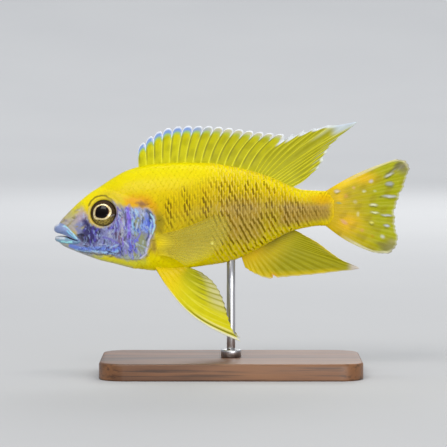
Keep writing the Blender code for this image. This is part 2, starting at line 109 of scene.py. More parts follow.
# Folds of the head, each with its side-view line, depth and half width
FOLDS = (
    (((3.0, 54.6), (5.4, 53.6), (7.6, 51.6), (9.3, 49.9), (11.6, 48.6)), 0.20, 0.30),
    (((9.0, 46.7), (10.0, 45.9), (11.4, 44.9)), 0.24, 0.32),
    (((12.6, 61.3), (14.6, 63.0), (17.5, 63.8), (20.6, 63.2), (22.6, 61.6)), 0.10, 0.50),
)
NOSTRIL = (7.2, 55.4)

# The eye's place: centre of its socket on the flank, and how its axis leans forwards and up
EYE_CENTRE = (17.65, 57.3)
EYE_AXIS = np.array([-0.16, 1.0, 0.15]) / math.hypot(0.16, 1.0, 0.15)
EYE_LEVEL = 6.15
SOCKET_RADIUS, SOCKET_RIM, SOCKET_DEPTH = 4.72, 5.35, 2.2


def slope_limited(xs, ys):
    """Slopes at the knots of a smooth curve that never overshoots its points."""
    step = np.diff(ys) / np.diff(xs)
    before, after = step[:-1], step[1:]
    same_way = before * after > 0
    harmonic = np.zeros_like(before)
    harmonic[same_way] = 2 * before[same_way] * after[same_way] / (before + after)[same_way]
    return np.concatenate([step[:1], harmonic, step[-1:]])


def smooth(x, xs, ys):
    """Cubic curve through the knots, held level past its ends."""
    xs, ys = np.asarray(xs, float), np.asarray(ys, float)
    slopes = slope_limited(xs, ys)
    x = np.clip(x, xs[0], xs[-1])
    i = np.clip(np.searchsorted(xs, x) - 1, 0, len(xs) - 2)
    width = xs[i + 1] - xs[i]
    t = (x - xs[i]) / width
    return (
        ys[i] * (1 + 2 * t) * (1 - t) ** 2
        + slopes[i] * width * t * (1 - t) ** 2
        + ys[i + 1] * t * t * (3 - 2 * t)
        + slopes[i + 1] * width * t * t * (t - 1)
    )


def profile(pairs, x):
    """Smooth curve through pairs of a place and a value."""
    return smooth(x, *zip(*pairs))


def fade(x, low, high):
    """0 below low and 1 above high, with a smooth S between."""
    t = np.clip((x - low) / (high - low), 0, 1)
    return t * t * (3 - 2 * t)


def bell(x, wide):
    """1 at nothing, and less on both sides, by e to the power of minus the square of x over wide."""
    return np.exp(-((x / wide) ** 2))


def body_at(s, turn, sunk=0.0):
    """A point of the body. Its height goes with the cosine of the turn from the middle of the back
    and its width with a power of the sine, and sunk shrinks the section by a depth."""
    back = smooth(s, STATION_S, BACK_Z) - sunk
    belly = smooth(s, STATION_S, BELLY_Z) + sunk
    half_width = (smooth(s, STATION_S, HALF_WIDTH) - sunk) * (1 - STEM_THINNING * fade(s, *STEM_SPAN))
    widest = belly + (back - belly) * profile(WIDEST_SHARE, s)
    up, side = np.cos(turn), np.sin(turn)
    power = np.where(up > 0, profile(UPPER_POWER, s), profile(LOWER_POWER, s))
    z = widest + np.where(up > 0, back - widest, widest - belly) * up
    y = half_width * np.sign(side) * np.abs(side) ** power
    return np.stack(np.broadcast_arrays(s, y, z), axis=-1)


def line_distance(s, z, line):
    """Distance on the side view from each point to a broken line."""
    best = np.full(np.shape(s), np.inf)
    for (s0, z0), (s1, z1) in zip(line[:-1], line[1:]):
        ds, dz = s1 - s0, z1 - z0
        t = np.clip(((s - s0) * ds + (z - z0) * dz) / (ds * ds + dz * dz), 0, 1)
        best = np.minimum(best, np.hypot(s - s0 - t * ds, z - z0 - t * dz))
    return best


def within(s, z, outline, soft):
    """1 inside a side-view outline and 0 outside it, with an edge this soft."""
    inside = np.zeros(np.shape(s), bool)
    for (s0, z0), (s1, z1) in zip(outline, outline[1:] + outline[:1]):
        crosses = (z0 > z) != (z1 > z)
        height = z1 - z0 if z1 != z0 else 1.0
        inside ^= crosses & (s < (s1 - s0) * (z - z0) / height + s0)
    distance = line_distance(s, z, outline + outline[:1])
    return fade(np.where(inside, distance, -distance), -soft, soft)


def gill_line(z):
    """Distance behind the snout of the gill opening at a height."""
    opening_s, opening_z = zip(*GILL_OPENING[::-1])
    return smooth(z, opening_z, opening_s)


def gill_edge(turn):
    """Distance at which the gill opening crosses the line of this turn, by repeated halfway steps."""
    s = np.full(turn.shape, GILL_MIDDLE)
    for _ in range(HALFWAY_STEPS):
        s = (s + gill_line(body_at(s, turn)[..., 2])) / 2
    return s


def normals_of(grid):
    """Unit normals of a grid of rings whose columns close on themselves."""
    along_fish = np.gradient(grid, axis=0)
    wrapped = np.concatenate([grid[:, -1:], grid, grid[:, :1]], axis=1)
    round_fish = np.gradient(wrapped, axis=1)[:, 1:-1]
    normal = np.cross(round_fish, along_fish)
    return normal / np.maximum(np.linalg.norm(normal, axis=2, keepdims=True), 1e-9)


def eye_radius(points):
    """Distance of each point from the axis of the eye on its own side."""
    mirrored = points * (1, 0, 1) + np.abs(points) * (0, 1, 0)
    arm = mirrored - (EYE_CENTRE[0], EYE_LEVEL, EYE_CENTRE[1])
    return np.linalg.norm(arm - (arm @ EYE_AXIS)[..., None] * EYE_AXIS, axis=-1)


def coat_share(s, z):
    """How much of the coat of scales a place carries: all behind the gills and over the nape."""
    over_nape = fade(z - profile(NAPE_LINE, s), -2.4, 2.6) * fade(s, 8.0, 13.0)
    return np.maximum(fade(s - gill_line(z), 0.2, 1.4), over_nape)


def shares(rings):
    """Even shares from 0 up to, but not at, 1, one for each ring."""
    return np.linspace(0, 1, rings, endpoint=False)[:, None]


def skin_grid():
    """Rings of the skin, from the mouth's back to the tail stem's end, with their normals.

    The mouth shrinks from the lips' inner rim to its back, the lips bulge between that rim and their
    outer groove by a power of share times one less share, and the other rings lie on the body.
    """
    turn = np.arange(COLUMNS) * math.tau / COLUMNS
    side = np.where(turn <= math.pi, 1.0, -1.0)
    half_turn = np.where(side > 0, turn, math.tau - turn)
    degrees = np.degrees(half_turn)
    upper = half_turn < math.pi / 2

    rim_s = MOUTH_LENGTH * (1 - np.abs(np.cos(half_turn)))
    rim_z = np.where(upper, profile(UPPER_RIM, rim_s), profile(LOWER_RIM, rim_s))
    set_back = MOUTH_SINK + np.where(upper, 0.0, LOWER_RIM_BACK)
    rim_s = rim_s + set_back * (1 - rim_s / MOUTH_LENGTH)
    rim = np.stack([rim_s, side * MOUTH_HALF_WIDTH * np.sin(half_turn) ** 0.8, rim_z], axis=1)
    mouth_back = np.array(MOUTH_BACK)
    share = np.linspace(0.02, 1, MOUTH_RINGS, endpoint=False)[:, None, None]
    mouth = mouth_back + (rim - mouth_back) * share**0.7

    knots, groove_s, groove_turn = zip(*LIP_GROOVE)
    groove_s = smooth(degrees, knots, groove_s)
    groove_turn = np.radians(smooth(degrees, knots, groove_turn))
    groove = body_at(groove_s, side * groove_turn, LIP_GROOVE_DEPTH)
    share = shares(LIP_RINGS)[..., None]
    across = groove - rim
    lips = rim + across * share
    fullest = lips[LIP_RINGS // 2]
    round_mouth = np.gradient(np.concatenate([fullest[-1:], fullest, fullest[:1]]), axis=0)[1:-1]
    out = np.cross(across, round_mouth)
    out /= np.linalg.norm(out, axis=1, keepdims=True)
    lips = lips + out * profile(LIP_FULLNESS, degrees)[:, None] * (4 * share * (1 - share)) ** 0.5

    share = shares(MUZZLE_RINGS)
    muzzle_turn = groove_turn + (half_turn - groove_turn) * fade(share, 0.0, 1.0)
    leave_groove = LIP_GROOVE_DEPTH * (1 - fade(share, 0.0, 0.16))
    muzzle = body_at(groove_s + (MUZZLE_END - groove_s) * share, side * muzzle_turn, leave_groove)

    edge = gill_edge(half_turn)
    face = body_at(MUZZLE_END + (edge - MUZZLE_END) * shares(FACE_RINGS) ** 0.93, side * half_turn)
    trunk = body_at(edge + (TRUNK_END - edge) * shares(TRUNK_RINGS) ** 1.6, side * half_turn)
    stem_s = np.linspace(TRUNK_END, STATION_S[-1], STEM_RINGS)[:, None]
    stem = body_at(np.broadcast_to(stem_s, (STEM_RINGS, COLUMNS)), side * half_turn)
    grid = np.concatenate([mouth, lips, muzzle, face, trunk, stem])
    return grid, normals_of(grid)


def relief(grid):
    """Height of the skin's folds above the plain body, as sums of bells of the distance to each line:
    gill cover, cheek, snout, jaw, brow, nostril and eye socket, with a faint swell on the cheek."""
    s, z = grid[..., 0], grid[..., 2]
    behind = s - gill_line(z)
    strength = fade(z, *GILL_STEP_FADE[:2]) * (1 - fade(z, *GILL_STEP_FADE[2:]))
    cover = np.where(behind < 0, np.exp(behind / 3.0), 0)
    hollow = np.where(behind >= 0, fade(behind, 0.0, 0.4) * np.exp(-behind / 2.0), 0)
    step_down = np.where(behind >= 0, np.exp(-behind / 0.15), 0)
    height = GILL_STEP * strength * (cover + step_down - 0.9 * hollow)

    hem = line_distance(s, z, COVER_HEM)
    above = z > profile(sorted(COVER_HEM), s)
    on_hem = fade(s, 14.5, 19.0) * (1 - fade(s, 32.0, 33.8))
    below_hem = -0.16 * fade(hem, 0.0, 0.3) * np.exp(-hem / 1.1)
    height += on_hem * np.where(above, 0.20 * np.exp(-hem / 1.6), below_hem)

    furrow = line_distance(s, z, CHEEK_FURROW)
    height += 0.12 * bell(furrow, 1.5) - 0.30 * bell(furrow, 0.42)
    for line, deep, wide in FOLDS:
        fold = line_distance(s, z, line)
        height += 0.5 * deep * bell(fold, 3.2 * wide) - deep * bell(fold, wide)
    nostril = np.hypot(s - NOSTRIL[0], z - NOSTRIL[1])
    height += 0.16 * bell(nostril - 0.75, 0.3) - 0.65 * bell(nostril, 0.45)

    radius = eye_radius(grid)
    height += 0.22 * bell(radius - SOCKET_RIM, 0.42) * (np.abs(grid[..., 1]) > 2)
    height -= SOCKET_DEPTH * (1 - fade(radius, SOCKET_RADIUS - 0.9, SOCKET_RADIUS + 0.15))

    waves = np.sin(2.1 * s + 1.3 * z) * np.sin(1.7 * z - 0.9 * s) + np.sin(3.3 * s - 1.9 * z + 1.0) * 0.6
    on_cheek = fade(s, 9.0, 12.0) * (1 - fade(s, 34.0, 36.0))
    on_cheek *= fade(z, 42.0, 44.0) * (1 - fade(z, 58.0, 61.0))
    height += 0.035 * waves * on_cheek * (radius > SOCKET_RIM + 0.5)
    return height


def linear(colour):
    """A colour of display values from 0 to 255 as linear light. An array is linear light already."""
    if not isinstance(colour, tuple):
        return colour
    share = np.array(colour) / 255
    return np.where(share <= 0.04045, share / 12.92, ((share + 0.055) / 1.055) ** 2.4)


def painted(base, *layers):
    """A base colour with others laid over it one after another, each by its share from 0 to 1."""
    paint = linear(base)
    for colour, share in layers:
        paint = paint + (linear(colour) - paint) * np.asarray(share)[..., None]
    return paint


WANDER = 0.17
GOLD = (228, 196, 14)
LILAC = (130, 135, 178)
SKY = (112, 138, 222)
ICE = (176, 224, 236)
PLUM = (46, 40, 90)
INK = (36, 36, 60)
ORANGE = (222, 156, 24)
MOSS = (150, 152, 84)
GULLET = (96, 58, 50)
UPPER_LIP, LOWER_LIP = (128, 144, 186), (128, 162, 184)

# The body's paint from belly to back, as steps of the rise, for its front and its rear. The lowest steps
# are lighter than the belly's own yellow, as painted light that lifts the shade under the fish
RISE_STEPS = (0.0, 0.12, 0.32, 0.55, 0.74, 0.90, 1.0)
FRONT_PAINT = (
    (246, 230, 0), (238, 218, 0), (216, 192, 6), (212, 180, 2), (224, 196, 0), (230, 212, 0),
    (234, 220, 0),
)
REAR_PAINT = (
    (244, 222, 0), (226, 204, 2), (190, 166, 24), (186, 156, 30), (222, 190, 4), (236, 212, 0),
    (240, 218, 0),
)

# Washes, each with its colour, strength, softness and side-view outline
HEAD_WASHES = (
    ((168, 162, 160), 0.95, 1.3, ((0.7, 51.7), (2.1, 54.5), (4.2, 57.0), (6.0, 57.7), (8.5, 57.0),
        (10.9, 54.8), (12.0, 52.0), (9.9, 49.9), (6.4, 50.6), (3.5, 51.7))),
    ((184, 176, 70), 0.75, 1.3, ((3.2, 54.8), (6.4, 58.4), (9.2, 60.5), (11.3, 58.7), (9.9, 56.6),
        (7.8, 55.5), (6.0, 55.2))),
    (LILAC, 0.97, 0.9, ((7.8, 52.4), (8.8, 54.8), (9.9, 57.0), (11.3, 57.0), (12.0, 55.2), (13.1, 53.8),
        (14.5, 52.7), (17.3, 52.4), (19.8, 52.9), (21.5, 54.5), (22.6, 56.6), (23.3, 59.4), (25.4, 59.8),
        (27.9, 59.4), (33.2, 59.2), (35.0, 57.7), (35.8, 55.2), (35.8, 52.4), (35.0, 49.5), (33.9, 46.0),
        (32.8, 42.5), (30.4, 40.9), (25.4, 40.7), (21.2, 41.8), (16.2, 42.6), (11.3, 43.5), (6.4, 44.9),
        (6.4, 47.1), (9.2, 48.1), (7.8, 50.6))),
    ((178, 156, 170), 0.70, 1.0, ((7.8, 56.6), (10.2, 59.1), (11.7, 57.3), (12.0, 55.2), (9.9, 54.1),
        (8.1, 54.1))),
    ((150, 158, 178), 0.85, 0.7, ((0.0, 48.8), (2.1, 47.4), (6.4, 46.0), (12.7, 43.9), (17.7, 41.8),
        (13.8, 40.5), (8.5, 41.8), (3.5, 43.7), (-0.4, 45.7))),
    # The throat's yellow, painted lighter than its own colour as painted light under the head
    ((228, 226, 60), 0.85, 1.1, ((14.1, 42.1), (18.4, 41.4), (24.0, 40.5), (32.5, 40.7), (33.9, 39.6),
        (29.0, 38.2), (19.8, 39.3), (14.8, 40.4))),
    (PLUM, 0.92, 1.0, ((10.2, 54.8), (11.7, 55.5), (13.1, 53.4), (15.9, 51.8), (15.5, 48.5), (13.4, 46.4),
        (10.6, 46.7), (9.2, 48.8), (10.6, 51.3))),
    ((60, 52, 108), 0.85, 1.1, ((13.8, 52.0), (17.7, 50.9), (16.9, 47.4), (13.8, 45.7), (11.3, 47.4))),
    ((96, 82, 178), 0.80, 1.1, ((21.2, 57.0), (23.0, 57.7), (24.0, 55.2), (23.3, 51.3), (21.2, 49.5),
        (18.7, 50.2), (20.5, 53.4))),
    ((134, 138, 186), 0.75, 1.0, ((16.6, 50.2), (21.2, 50.9), (21.9, 47.4), (18.4, 46.4), (16.2, 47.4))),
    ((64, 60, 80), 0.80, 0.6, ((8.8, 49.2), (10.6, 49.7), (13.1, 48.8), (13.1, 47.2), (10.6, 46.9),
        (9.2, 47.8))),
    ((170, 176, 190), 0.75, 0.8, ((19.1, 50.6), (20.8, 51.3), (21.2, 48.8), (19.4, 48.1))),
    ((164, 168, 196), 0.85, 0.8, ((27.5, 58.7), (32.8, 59.2), (34.3, 57.7), (32.1, 56.2), (28.6, 56.6))),
    (SKY, 0.9, 0.8, ((31.1, 54.8), (33.5, 56.2), (35.3, 55.9), (35.5, 53.4), (34.3, 50.6), (32.5, 50.6),
        (31.1, 52.4))),
    ((66, 84, 190), 0.8, 0.7, ((33.2, 55.2), (35.0, 55.5), (35.0, 52.4), (33.5, 50.6), (32.5, 52.4))),
    ((138, 140, 110), 0.8, 1.2, ((27.5, 55.9), (30.4, 56.4), (31.1, 54.1), (30.0, 50.9), (28.2, 52.4))),
    ((146, 152, 92), 0.85, 1.2, ((30.0, 50.9), (32.5, 49.9), (33.0, 47.4), (32.5, 44.2), (30.7, 43.5),
        (29.3, 46.7))),
    ((98, 98, 214), 0.85, 0.8, ((26.5, 47.8), (29.0, 48.1), (29.8, 43.5), (27.9, 42.5), (26.5, 44.6))),
    ((172, 182, 150), 0.8, 1.2, ((26.1, 43.2), (32.5, 43.5), (32.1, 41.1), (27.5, 40.5), (23.3, 41.2))),
    ((118, 88, 112), 0.75, 0.9, ((21.5, 50.6), (24.0, 51.3), (25.1, 47.4), (23.0, 46.0))),
    (ORANGE, 0.85, 1.4, ((24.7, 62.2), (28.2, 63.3), (33.5, 63.3), (36.4, 60.5), (36.7, 57.3),
        (34.6, 59.1), (30.4, 59.6), (25.4, 60.0))),
    ((160, 152, 128), 0.80, 1.0, ((19.4, 61.9), (22.2, 61.5), (25.4, 59.4), (24.0, 57.3), (22.2, 57.0),
        (20.8, 60.1))),
    ((120, 84, 66), 0.85, 0.8, ((29.3, 61.0), (32.1, 61.5), (33.4, 60.0), (30.7, 59.4))),
    ((150, 116, 60), 0.75, 1.0, ((34.6, 48.1), (36.4, 47.4), (36.4, 43.2), (34.3, 43.5))),
    ((204, 184, 34), 0.65, 1.2, ((15.9, 64.4), (20.5, 65.4), (24.0, 63.3), (25.4, 60.5), (21.9, 61.2),
        (17.7, 62.6))),
    ((238, 216, 30), 0.9, 0.9, ((36.2, 49.9), (37.8, 49.2), (40.3, 48.1), (40.3, 43.5), (37.4, 42.5),
        (36.4, 44.6))),
)
LIP_WASHES = (
    (UPPER_LIP, 1.0, 0.35, ((-1.4, 50.9), (0.0, 53.8), (2.1, 54.7), (4.9, 53.2), (7.1, 51.1),
        (9.5, 47.6), (8.5, 47.1), (4.9, 48.8), (2.1, 50.1))),
    (LOWER_LIP, 1.0, 0.35, ((-1.4, 48.8), (2.1, 49.0), (4.9, 48.5), (8.8, 46.9), (10.6, 45.8),
        (7.1, 45.8), (2.8, 46.2), (0.0, 46.7))),
    ((96, 122, 170), 0.75, 0.4, ((6.4, 47.2), (10.6, 46.4), (10.6, 45.3), (7.1, 45.7))),
)
# Streaks, each with its colour, strength, half width, softness and side-view line
HEAD_STREAKS = (
    ((176, 178, 188), 0.8, 0.42, 0.45, ((23.5, 58.4), (24.2, 55.9), (24.5, 52.4), (24.2, 49.2))),
    ((78, 64, 92), 0.75, 0.22, 0.35, ((25.2, 57.7), (25.8, 54.8), (25.4, 52.4), (26.0, 50.2), (24.9, 47.4),
        (23.1, 45.7))),
    ((130, 104, 218), 0.85, 0.62, 0.45, ((26.3, 58.7), (26.7, 55.9), (27.0, 52.4), (26.7, 49.2))),
    (INK, 0.85, 0.50, 0.45, ((33.0, 58.2), (34.3, 57.0), (34.4, 54.8))),
    (INK, 0.7, 0.22, 0.3, ((33.9, 50.9), (33.5, 48.8), (32.8, 47.8))),
    (ICE, 0.85, 0.18, 0.25, ((34.3, 57.1), (35.5, 55.2), (35.7, 52.7), (35.0, 50.2))),
    ((200, 200, 230), 0.85, 0.26, 0.3, ((34.4, 49.7), (33.4, 46.7), (32.7, 43.5), (30.7, 41.4))),
    ((116, 190, 216), 0.85, 0.26, 0.3, ((28.2, 54.8), (28.1, 52.7), (29.0, 50.2))),
    ((176, 206, 224), 0.8, 0.2, 0.25, ((29.0, 58.0), (29.7, 56.6), (29.0, 55.7), (27.7, 55.9))),
    ((92, 120, 214), 0.8, 0.3, 0.3, ((30.0, 54.8), (29.5, 52.4), (30.4, 50.6))),
    (SKY, 0.95, 0.62, 0.4, ((6.0, 45.5), (8.8, 44.7), (12.0, 44.4), (15.2, 44.7), (19.1, 44.2),
        (21.9, 44.0), (23.3, 44.8))),
    ((150, 196, 232), 0.75, 0.26, 0.3, ((7.8, 44.1), (11.3, 43.6), (14.8, 43.7), (18.4, 43.2),
        (21.2, 43.2), (23.0, 44.1))),
    ((74, 72, 66), 0.75, 0.16, 0.3, ((9.2, 43.6), (12.0, 43.0), (14.1, 43.1), (15.5, 42.4), (17.7, 42.5),
        (19.8, 42.1), (21.9, 42.5), (23.7, 43.5))),
    ((88, 78, 180), 0.8, 0.26, 0.35, ((13.8, 50.8), (15.2, 49.5), (14.5, 47.4))),
    ((170, 176, 214), 0.7, 0.2, 0.3, ((15.9, 50.6), (15.4, 48.8), (16.2, 47.4))),
    ((104, 92, 186), 0.7, 0.3, 0.35, ((17.7, 48.8), (20.5, 47.9), (23.0, 46.4), (24.0, 44.9))),
    ((176, 186, 216), 0.7, 0.2, 0.3, ((16.2, 46.2), (19.1, 46.2), (21.2, 45.3), (22.6, 46.0))),
    ((188, 190, 200), 0.8, 0.4, 0.5, ((1.4, 45.7), (4.2, 44.2), (7.8, 43.0), (10.6, 41.9))),
    ((206, 206, 130), 0.7, 0.3, 0.5, ((12.0, 41.6), (14.8, 40.9), (19.8, 39.5), (27.5, 37.9))),
    (INK, 0.9, 0.3, 0.25, ((8.7, 49.4), (9.5, 49.7), (10.6, 49.3))),
    ((104, 92, 26), 0.85, 0.24, 0.3, ((12.5, 59.8), (13.4, 61.4), (14.8, 62.7), (16.6, 63.3), (18.4, 63.2),
        (20.1, 62.2), (21.2, 61.2))),
    # Painted shade in the nostril's pit
    ((96, 84, 60), 0.5, 0.2, 0.3, ((6.9, 55.5), (7.4, 55.2))),
)
LIP_STREAKS = (
    # Painted highlight: a pale cyan line along the upper lip's upper rear edge
    (ICE, 0.95, 0.16, 0.34, ((3.7, 52.6), (5.3, 51.7), (6.9, 50.0), (8.3, 48.1))),
    # Painted shade along the upper lip's lower edge, over the gape
    ((96, 116, 160), 0.8, 0.22, 0.4, ((1.4, 50.1), (3.5, 50.4), (5.3, 49.9), (7.1, 48.5), (8.5, 47.5))),
    # Painted highlight: a second cyan line beside it on the upper lip
    ((120, 200, 222), 0.9, 0.12, 0.25, ((4.9, 50.8), (6.4, 49.4), (7.8, 48.1))),
    # Painted highlight: a pale cyan line along the lower lip
    ((160, 232, 236), 0.95, 0.20, 0.35, ((2.8, 47.0), (4.6, 46.8), (6.4, 46.9))),
    ((206, 210, 220), 0.9, 0.4, 0.6, ((-0.4, 51.7), (0.2, 52.5), (1.4, 53.2))),
    ((206, 214, 222), 0.9, 0.4, 0.6, ((-0.2, 48.4), (1.4, 48.5), (3.5, 48.3))),
    # Painted shade in the groove under the lower lip
    ((44, 58, 82), 0.85, 0.17, 0.25, ((3.2, 46.1), (5.6, 45.9), (8.5, 45.5), (11.3, 45.2))),
    # Painted shade in the groove behind the upper lip
    ((92, 96, 122), 0.8, 0.14, 0.25, ((2.1, 53.9), (3.5, 53.8), (5.1, 53.0), (6.7, 51.3), (8.1, 49.5),
        (9.4, 47.8))),
)
BODY_WASHES = (
    ((176, 142, 66), 0.60, 2.0, ((60.7, 61.5), (65.7, 62.6), (72.0, 60.5), (73.4, 48.8), (67.8, 46.7),
        (62.1, 48.1))),
    ((178, 144, 66), 0.85, 1.4, ((81.2, 60.8), (86.9, 60.5), (97.1, 60.0), (97.8, 57.3), (97.1, 54.8),
        (86.9, 53.4), (79.1, 52.7))),
    ((222, 168, 8), 0.70, 1.2, ((89.7, 62.6), (94.6, 64.0), (100.3, 63.7), (100.3, 60.5), (93.2, 60.0))),
    ((236, 198, 0), 0.90, 1.6, ((97.8, 63.0), (106.6, 65.1), (106.6, 49.5), (97.8, 51.7))),
    # The tail stem's underside: partly its own yellow, partly painted light that lifts its shade
    ((232, 200, 0), 0.70, 1.6, ((86.9, 52.4), (97.8, 54.1), (101.0, 50.9), (86.9, 48.8))),
    ((200, 176, 24), 0.45, 2.5, ((37.4, 57.3), (51.6, 59.4), (60.0, 57.3), (59.3, 48.8), (48.0, 44.6),
        (38.1, 46.7))),
    # Painted shadow on the flank just behind the gill cover's edge
    ((128, 112, 26), 0.75, 1.1, ((36.0, 58.7), (37.8, 57.7), (39.2, 54.5), (38.8, 49.9), (36.7, 48.8),
        (35.7, 51.7))),
    ((168, 150, 56), 0.60, 1.2, ((35.0, 50.2), (38.8, 49.5), (38.8, 45.3), (36.0, 44.6))),
)
# Short strokes scattered over the head: where, how many, their slope from level in degrees, their
# length and half width, and the colours they are picked from
FLECKS = (
    (((21.9, 59.4), (28.2, 59.4), (28.2, 43.2), (21.9, 43.2)), 34, 96, 1.7, 0.20, (INK, (150, 132, 226),
        (186, 196, 226), (92, 84, 190), (132, 92, 122))),
    (((27.5, 58.7), (35.0, 58.0), (35.0, 50.2), (27.5, 50.2)), 38, 105, 1.3, 0.22, (INK, (156, 196, 236),
        SKY, (70, 88, 190), MOSS, (190, 206, 222))),
    (((27.5, 50.2), (33.9, 50.2), (32.5, 41.4), (25.4, 41.4)), 34, 95, 1.4, 0.22, ((86, 86, 84),
        (150, 196, 226), (116, 114, 222), MOSS, (178, 190, 190))),
    (((11.3, 53.8), (21.9, 52.4), (21.9, 43.9), (10.6, 45.3)), 46, 76, 1.2, 0.20, (INK, (92, 78, 196),
        (140, 140, 206), (76, 64, 150), (52, 44, 96))),
    (((19.8, 58.7), (24.0, 58.7), (23.3, 47.4), (19.8, 48.1)), 16, 96, 1.5, 0.18, (INK, (112, 96, 208),
        (180, 188, 214))),
    (((6.4, 46.4), (24.0, 46.0), (24.0, 42.5), (9.2, 43.9)), 30, 8, 1.9, 0.16, ((76, 86, 180),
        (160, 200, 244), (98, 126, 220), INK)),
    (((2.1, 57.3), (10.6, 58.7), (11.3, 51.7), (2.8, 52.4)), 26, 40, 0.9, 0.26, ((196, 190, 110),
        (146, 138, 146), (194, 188, 196), (150, 140, 92))),
    (((10.6, 43.9), (26.8, 42.1), (26.8, 39.6), (14.8, 40.4)), 16, 10, 1.2, 0.22, ((120, 120, 60),
        (226, 220, 100), (190, 196, 150))),
)
# Upright bars of dark scales, as distance, half width, lowest and highest height
BARS = (
    (41.0, 1.5, 50.5, 62.5), (47.6, 1.7, 53.0, 66.5), (54.0, 1.5, 54.0, 66.5), (60.6, 1.8, 42.5, 68.0),
    (66.3, 1.9, 43.0, 67.5), (72.0, 1.8, 45.0, 65.5), (77.2, 1.6, 48.0, 64.0), (82.4, 1.4, 50.5, 61.5),
    (88.0, 1.3, 54.5, 60.5), (92.5, 1.2, 55.0, 60.0),
)
MARKED = (
    (38.8, 62.2), (46.6, 65.1), (53.7, 69.7), (69.9, 70.4), (83.3, 62.2), (97.5, 59.4), (97.5, 55.2),
    (79.8, 48.8), (65.7, 42.5), (57.2, 42.5), (53.7, 52.4), (38.8, 53.8),
)


def wander(s, z, far):
    """Moves side-view places a little to and fro in waves, so that painted edges aren't straight."""
    to_and_fro = np.sin(1.7 * z + 0.8 * s) + 0.7 * np.sin(3.6 * z - 1.9 * s + 1.3)
    to_and_fro += 0.5 * np.sin(7.3 * z + 2.6 * s)
    up_and_down = np.sin(1.9 * s - 0.6 * z + 2.1) + 0.7 * np.sin(3.9 * s + 2.2 * z)
    up_and_down += 0.5 * np.sin(7.7 * s - 3.1 * z + 0.7)
    return s + far * to_and_fro, z + far * up_and_down


def wash_over(paint, s, z, washes, streaks):
    """Lays washes and then streaks over a paint, by the side view."""
    wandering = wander(s, z, WANDER)
    for colour, strength, soft, outline in washes:
        paint = painted(paint, (colour, strength * within(*wandering, outline, soft)))
    s, z = wander(s, z, 0.35 * WANDER)
    for colour, strength, wide, soft, line in streaks:
        near = 1 - fade(line_distance(s, z, line), wide - soft / 2, wide + soft)
        paint = painted(paint, (colour, strength * near))
    return paint


def markings(s, z):
    """The fish's paint: the rise from belly to back picks a colour from the front's steps and one from
    the rear's, which blend along the fish, and the washes and streaks lie over them."""
    back, belly = smooth(s, STATION_S, BACK_Z), smooth(s, STATION_S, BELLY_Z)
    rise = np.clip((z - belly) / (back - belly), 0, 1)
    front, rear = (
        np.stack([np.interp(rise, RISE_STEPS, part) for part in np.array([linear(c) for c in steps]).T], -1)
        for steps in (FRONT_PAINT, REAR_PAINT)
    )
    paint = painted(front, (rear, fade(s, 42.0, 64.0)))
    paint = wash_over(paint, s, z, BODY_WASHES, ())
    return wash_over(paint, s, z, HEAD_WASHES, HEAD_STREAKS)


def flecked(paint, s, z, seed):
    """The head's scattered strokes, each at a chance place in its outline, over a paint."""
    chance = np.random.default_rng(seed)
    for outline, number, slope, long, wide, colours in FLECKS:
        low, high = np.min(outline, axis=0), np.max(outline, axis=0)
        for _ in range(number):
            middle = low + chance.random(2) * (high - low)
            angle = math.radians(slope + chance.normal(0, 26))
            reach = long * (0.15 + 0.7 * chance.random() ** 1.5)
            half = reach * np.array([math.cos(angle), math.sin(angle)])
            colour, strength = colours[chance.integers(len(colours))], 0.45 + 0.45 * chance.random()
            inside = within(middle[0], middle[1], outline, 0.5)
            near = (np.abs(s - middle[0]) < 3) & (np.abs(z - middle[1]) < 3)
            distance = line_distance(s[near], z[near], (middle - half, middle + half))
            share = strength * inside * (1 - fade(distance, 0.4 * wide, 2.0 * wide))
            paint[near] = painted(paint[near], (colour, share))
    return paint


def barring(s, z):
    """How strongly the dark bars show at a place, and faintly the flank between them."""
    shown = 0.42 * within(s, z, MARKED, 2.5)
    for middle, half, low, high in BARS:
        leaning = s + 0.12 * (z - 56)
        tall = fade(z, low - 1.5, low + 2.5) * (1 - fade(z, high - 2.5, high + 1.5))
        shown = np.maximum(shown, bell(leaning - middle, half) * tall)
    return shown


class Value:
    """A shader socket that adds a Math node for each sum written with it."""

    def __init__(self, finish, socket):
        self.finish, self.socket = finish, socket

    def math(self, operation, *others):
        return self.finish.add("ShaderNodeMath", {"operation": operation}, (self, *others))

    def __add__(self, other):
        return self.math("ADD", other)

    def __mul__(self, other):
        return self.math("MULTIPLY", other)

    def __sub__(self, other):
        return self.math("SUBTRACT", other)

    def __rsub__(self, other):
        return self.finish.add("ShaderNodeMath", {"operation": "SUBTRACT"}, (other, self))

    __radd__, __rmul__ = __add__, __mul__

    def between(self, low, high):
        """0 below low, 1 above high and a smooth S between."""
        settings = {"interpolation_type": "SMOOTHSTEP"}
        return self.finish.add("ShaderNodeMapRange", settings, (self, low, high, 0.0, 1.0))


